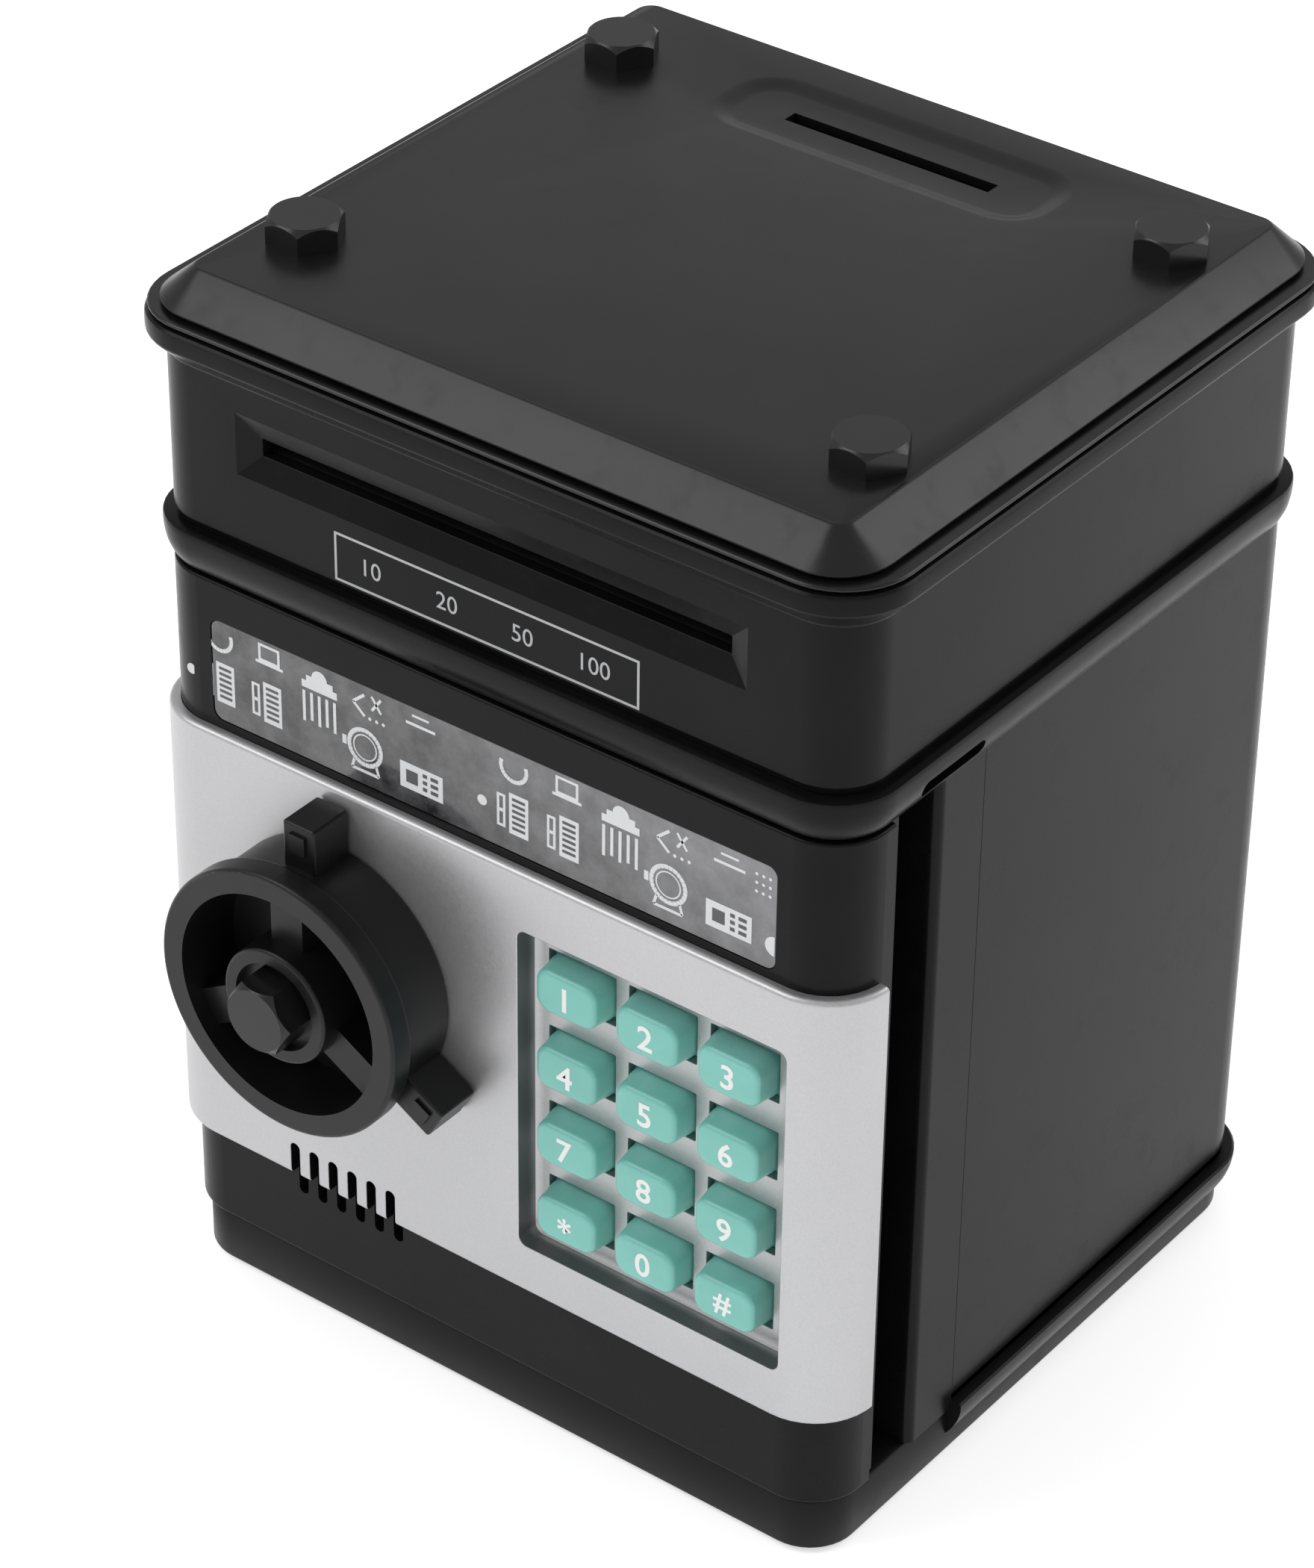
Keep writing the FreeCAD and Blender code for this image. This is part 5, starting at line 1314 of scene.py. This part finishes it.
# ------------------------------------------------------------------------------------------- window
@dataclass
class Window:
    """Glossy strip printed with pale line pictures."""

    thickness: float = 0.06
    build_now: Build = field(default_factory=Build)
    dark_now: Build = field(default_factory=Build)

    def place(self, points: Iterable[tuple[float, float]]) -> None:
        """Add one filled shape given by its outline."""
        outline = [(x, z + self.zero) for x, z in points]
        self.build_now.plate(outline, self.face - self.thickness, self.face + 0.1)

    def mark(self, x0: float, x1: float, z0: float, z1: float) -> None:
        """Add a dark rectangle on a pale shape."""
        low, high = z0 + self.zero, z1 + self.zero
        outline = [(x0, low), (x1, low), (x1, high), (x0, high)]
        self.dark_now.plate(outline, self.face - 2 * self.thickness, self.face)

    def bar(self, x0: float, x1: float, z0: float, z1: float) -> None:
        """Add a filled rectangle."""
        self.place([(x0, z0), (x1, z0), (x1, z1), (x0, z1)])

    def stroke(self, x0: float, z0: float, x1: float, z1: float, width: float = 0.5) -> None:
        """Add a straight line of some width."""
        run = Vector((x1 - x0, z1 - z0))
        side = Vector((-run.y, run.x)).normalized() * width / 2
        self.place([(x0 + side.x, z0 + side.y), (x0 - side.x, z0 - side.y), (x1 - side.x, z1 - side.y),
                    (x1 + side.x, z1 + side.y)])

    def disc(self, x: float, z: float, radius: float, start: float = 0.0, turn: float = 360.0) -> None:
        """Add a filled disc or a sector's chord shape."""
        steps = 24
        self.place([(x + radius * math.cos(math.radians(start + turn * i / steps)),
                     z + radius * math.sin(math.radians(start + turn * i / steps)))
                    for i in range(steps + (1 if turn < 360 else 0))])

    def ring(self, x: float, z: float, radius: float, width: float, start: float = 0.0,
             turn: float = 360.0) -> None:
        """Add a ring or an arc as short strokes."""
        steps = max(int(turn / 15), 2)
        points = [(x + radius * math.cos(math.radians(start + turn * i / steps)),
                   z + radius * math.sin(math.radians(start + turn * i / steps))) for i in range(steps + 1)]
        for (ax, az), (bx, bz) in zip(points, points[1:]):
            self.stroke(ax, az, bx, bz, width)

    def frame(self, x0: float, x1: float, z0: float, z1: float, width: float = 0.45) -> None:
        """Add an open rectangle."""
        self.bar(x0, x1, z0, z0 + width)
        self.bar(x0, x1, z1 - width, z1)
        self.bar(x0, x0 + width, z0 + width, z1 - width)
        self.bar(x1 - width, x1, z0 + width, z1 - width)

    def page(self, x: float, z: float) -> None:
        """Add a ledger page: a spine of brackets and a hatched sheet."""
        self.frame(x, x + 1.6, z + 0.6, z + 6.4)
        self.bar(x + 0.5, x + 1.1, z + 3.2, z + 3.8)
        self.bar(x + 2.3, x + 5.9, z, z + 7.2)
        for line in range(6):
            self.mark(x + 2.9, x + 5.3, z + 0.9 + line * 1.02, z + 1.35 + line * 1.02)

    def dial(self, x: float, z: float) -> None:
        """Add a round dial on a foot with lugs."""
        self.ring(x, z, 3.1, 0.75)
        self.ring(x, z, 2.2, 0.25)
        self.bar(x - 2.6, x + 2.6, z - 4.6, z - 4.1)
        self.stroke(x - 2.6, z - 4.3, x - 2.1, z - 2.6)
        self.stroke(x + 2.6, z - 4.3, x + 2.1, z - 2.6)
        self.bar(x - 4.4, x - 3.6, z - 0.8, z + 0.8)

    def card(self, x: float, z: float) -> None:
        """Add a framed card with a round mark and dots."""
        self.bar(x, x + 8.2, z, z + 4.6)
        self.mark(x + 1.2, x + 3.4, z + 1.2, z + 3.4)
        for line in range(3):
            self.mark(x + 4.4, x + 5.2, z + 0.8 + line * 1.2, z + 1.4 + line * 1.2)
            self.mark(x + 5.9, x + 7.3, z + 0.8 + line * 1.2, z + 1.4 + line * 1.2)

    def comb(self, x: float, z: float) -> None:
        """Add a head with five long teeth."""
        self.disc(x + 3.8, z + 8.6, 1.5, 0, 180)
        self.bar(x + 0.3, x + 7.2, z + 6.3, z + 7.6)
        self.bar(x + 1.2, x + 6.4, z + 7.6, z + 8.6)
        for tooth in range(5):
            self.bar(x + 0.4 + tooth * 1.5, x + 0.95 + tooth * 1.5, z + 0.2 + (tooth % 2) * 0.5, z + 5.7)

    def chevrons(self, x: float, z: float) -> None:
        """Add an arrow head and a cross with dots."""
        self.stroke(x + 2.2, z + 1.9, x, z)
        self.stroke(x, z, x + 2.2, z - 1.9)
        self.stroke(x + 3.6, z - 0.3, x + 5.4, z + 2.2, 0.45)
        self.stroke(x + 3.6, z + 2.2, x + 5.4, z - 0.3, 0.45)
        for i in range(3):
            self.disc(x + 3.2 + i * 1.3, z - 2.0, 0.3)

    def motifs(self) -> None:
        """Lay the pictures out over the strip, in a half that repeats mirrored in spacing."""
        for shift in (0.0, -57.0):
            self.dial(33.9 + shift, 6.7)
            self.card(40.7 + shift, 2.9)
            self.comb(21.4 + shift, 6.6)
            self.page(11.6 + shift, 3.2)
            self.page(2.2 + shift, 3.2)
            self.disc(-0.6 + shift, 6.9, 0.9)
            self.chevrons(31.8 + shift, 14.3)
            self.ring(5.4 + shift, 15.0, 2.4, 0.7, 160, 220)
            self.bar(42.0 + shift, 47.6 + shift, 14.6, 15.1)
            self.bar(43.2 + shift, 46.4 + shift, 16.2, 16.6)
            self.bar(12.6 + shift, 18.0 + shift, 13.6, 14.1)
            self.frame(13.2 + shift, 17.4 + shift, 14.1, 17.2)
        for i in range(3):
            for j in range(3):
                self.disc(49.6 + i * 1.2, 12.6 + j * 1.5, 0.27)
        self.disc(53.0, 4.2, 1.7, 90, 180)

    def build(self) -> None:
        """Print the strip's pictures."""
        low = node_box("window_strip")[0]
        self.face = low.y
        self.zero = low.z
        self.motifs()
        Dress.wear(self.build_now.piece("window_print"), PALE_INK, "door", "window_gloss")
        Dress.wear(self.dark_now.piece("window_marks"), DARK_INK, "door", "window_gloss")


# ------------------------------------------------------------------------------------------- carried parts
@dataclass
class Carried:
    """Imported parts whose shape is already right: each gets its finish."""

    finishes: dict[str, Finish]

    def dress(self) -> None:
        """Give each part its finish."""
        for node, finish in self.finishes.items():
            made = bpy.data.objects[node]
            made.data.materials.clear()
            made.data.materials.append(finish.material())
            LOG.info("%s carried over in %s", node, finish.name)


def carried_finishes() -> dict[str, Finish]:
    """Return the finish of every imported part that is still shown."""
    named: dict[Finish, str] = {
        BLACK: "hinge_post door_shell",
        PLINTH_BLACK: "battery_door",
        HEX_BLACK: "lid_bolts knob_bolt",
        KNOB_BLACK: "knob_wheel",
        FILM: "window_strip",
        RUBBER: "rubber_feet roller_tyres",
        INNER_BLACK: "battery_tray vault_floor door_cover latch_housing coin_chute note_guide note_cover",
        NATURAL: "drive_gear motor_pinion idler_roller latch_pinion latch_bolt",
        ZINC: "strike_plate battery_contacts motor_strap lock_solenoid",
        STEEL: "hinge_pins battery_screw door_screws feed_motor roller_shaft lock_plunger knob_shaft",
        BOARD: "keypad_board head_board",
        MAT_RUBBER: "keypad_mat",
        SPEAKER_GREY: "speaker",
        SLEEVE: "battery_cells",
    }
    return {node: finish for finish, nodes in named.items() for node in nodes.split()}


def outline_of_walls() -> Plan:
    """Return the walls' plan, read from the head, whose rim stands proud all round."""
    low, high = node_box("head_shell")
    rim = Head.rim_proud
    return Plan((high.x - low.x) / 2 - rim, low.y + rim, high.y - rim)


def main() -> None:
    """Build every sub-assembly."""
    logging.basicConfig(level=logging.INFO, format="%(name)s: %(message)s")
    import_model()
    Studio().build()
    plan = outline_of_walls()
    for assembly in (Cabinet(plan), Head(plan), Lid(plan), DoorFace(plan), Keypad(), Window()):
        assembly.build()
    Carried(carried_finishes()).dress()


if __name__ == "__main__":
    main()
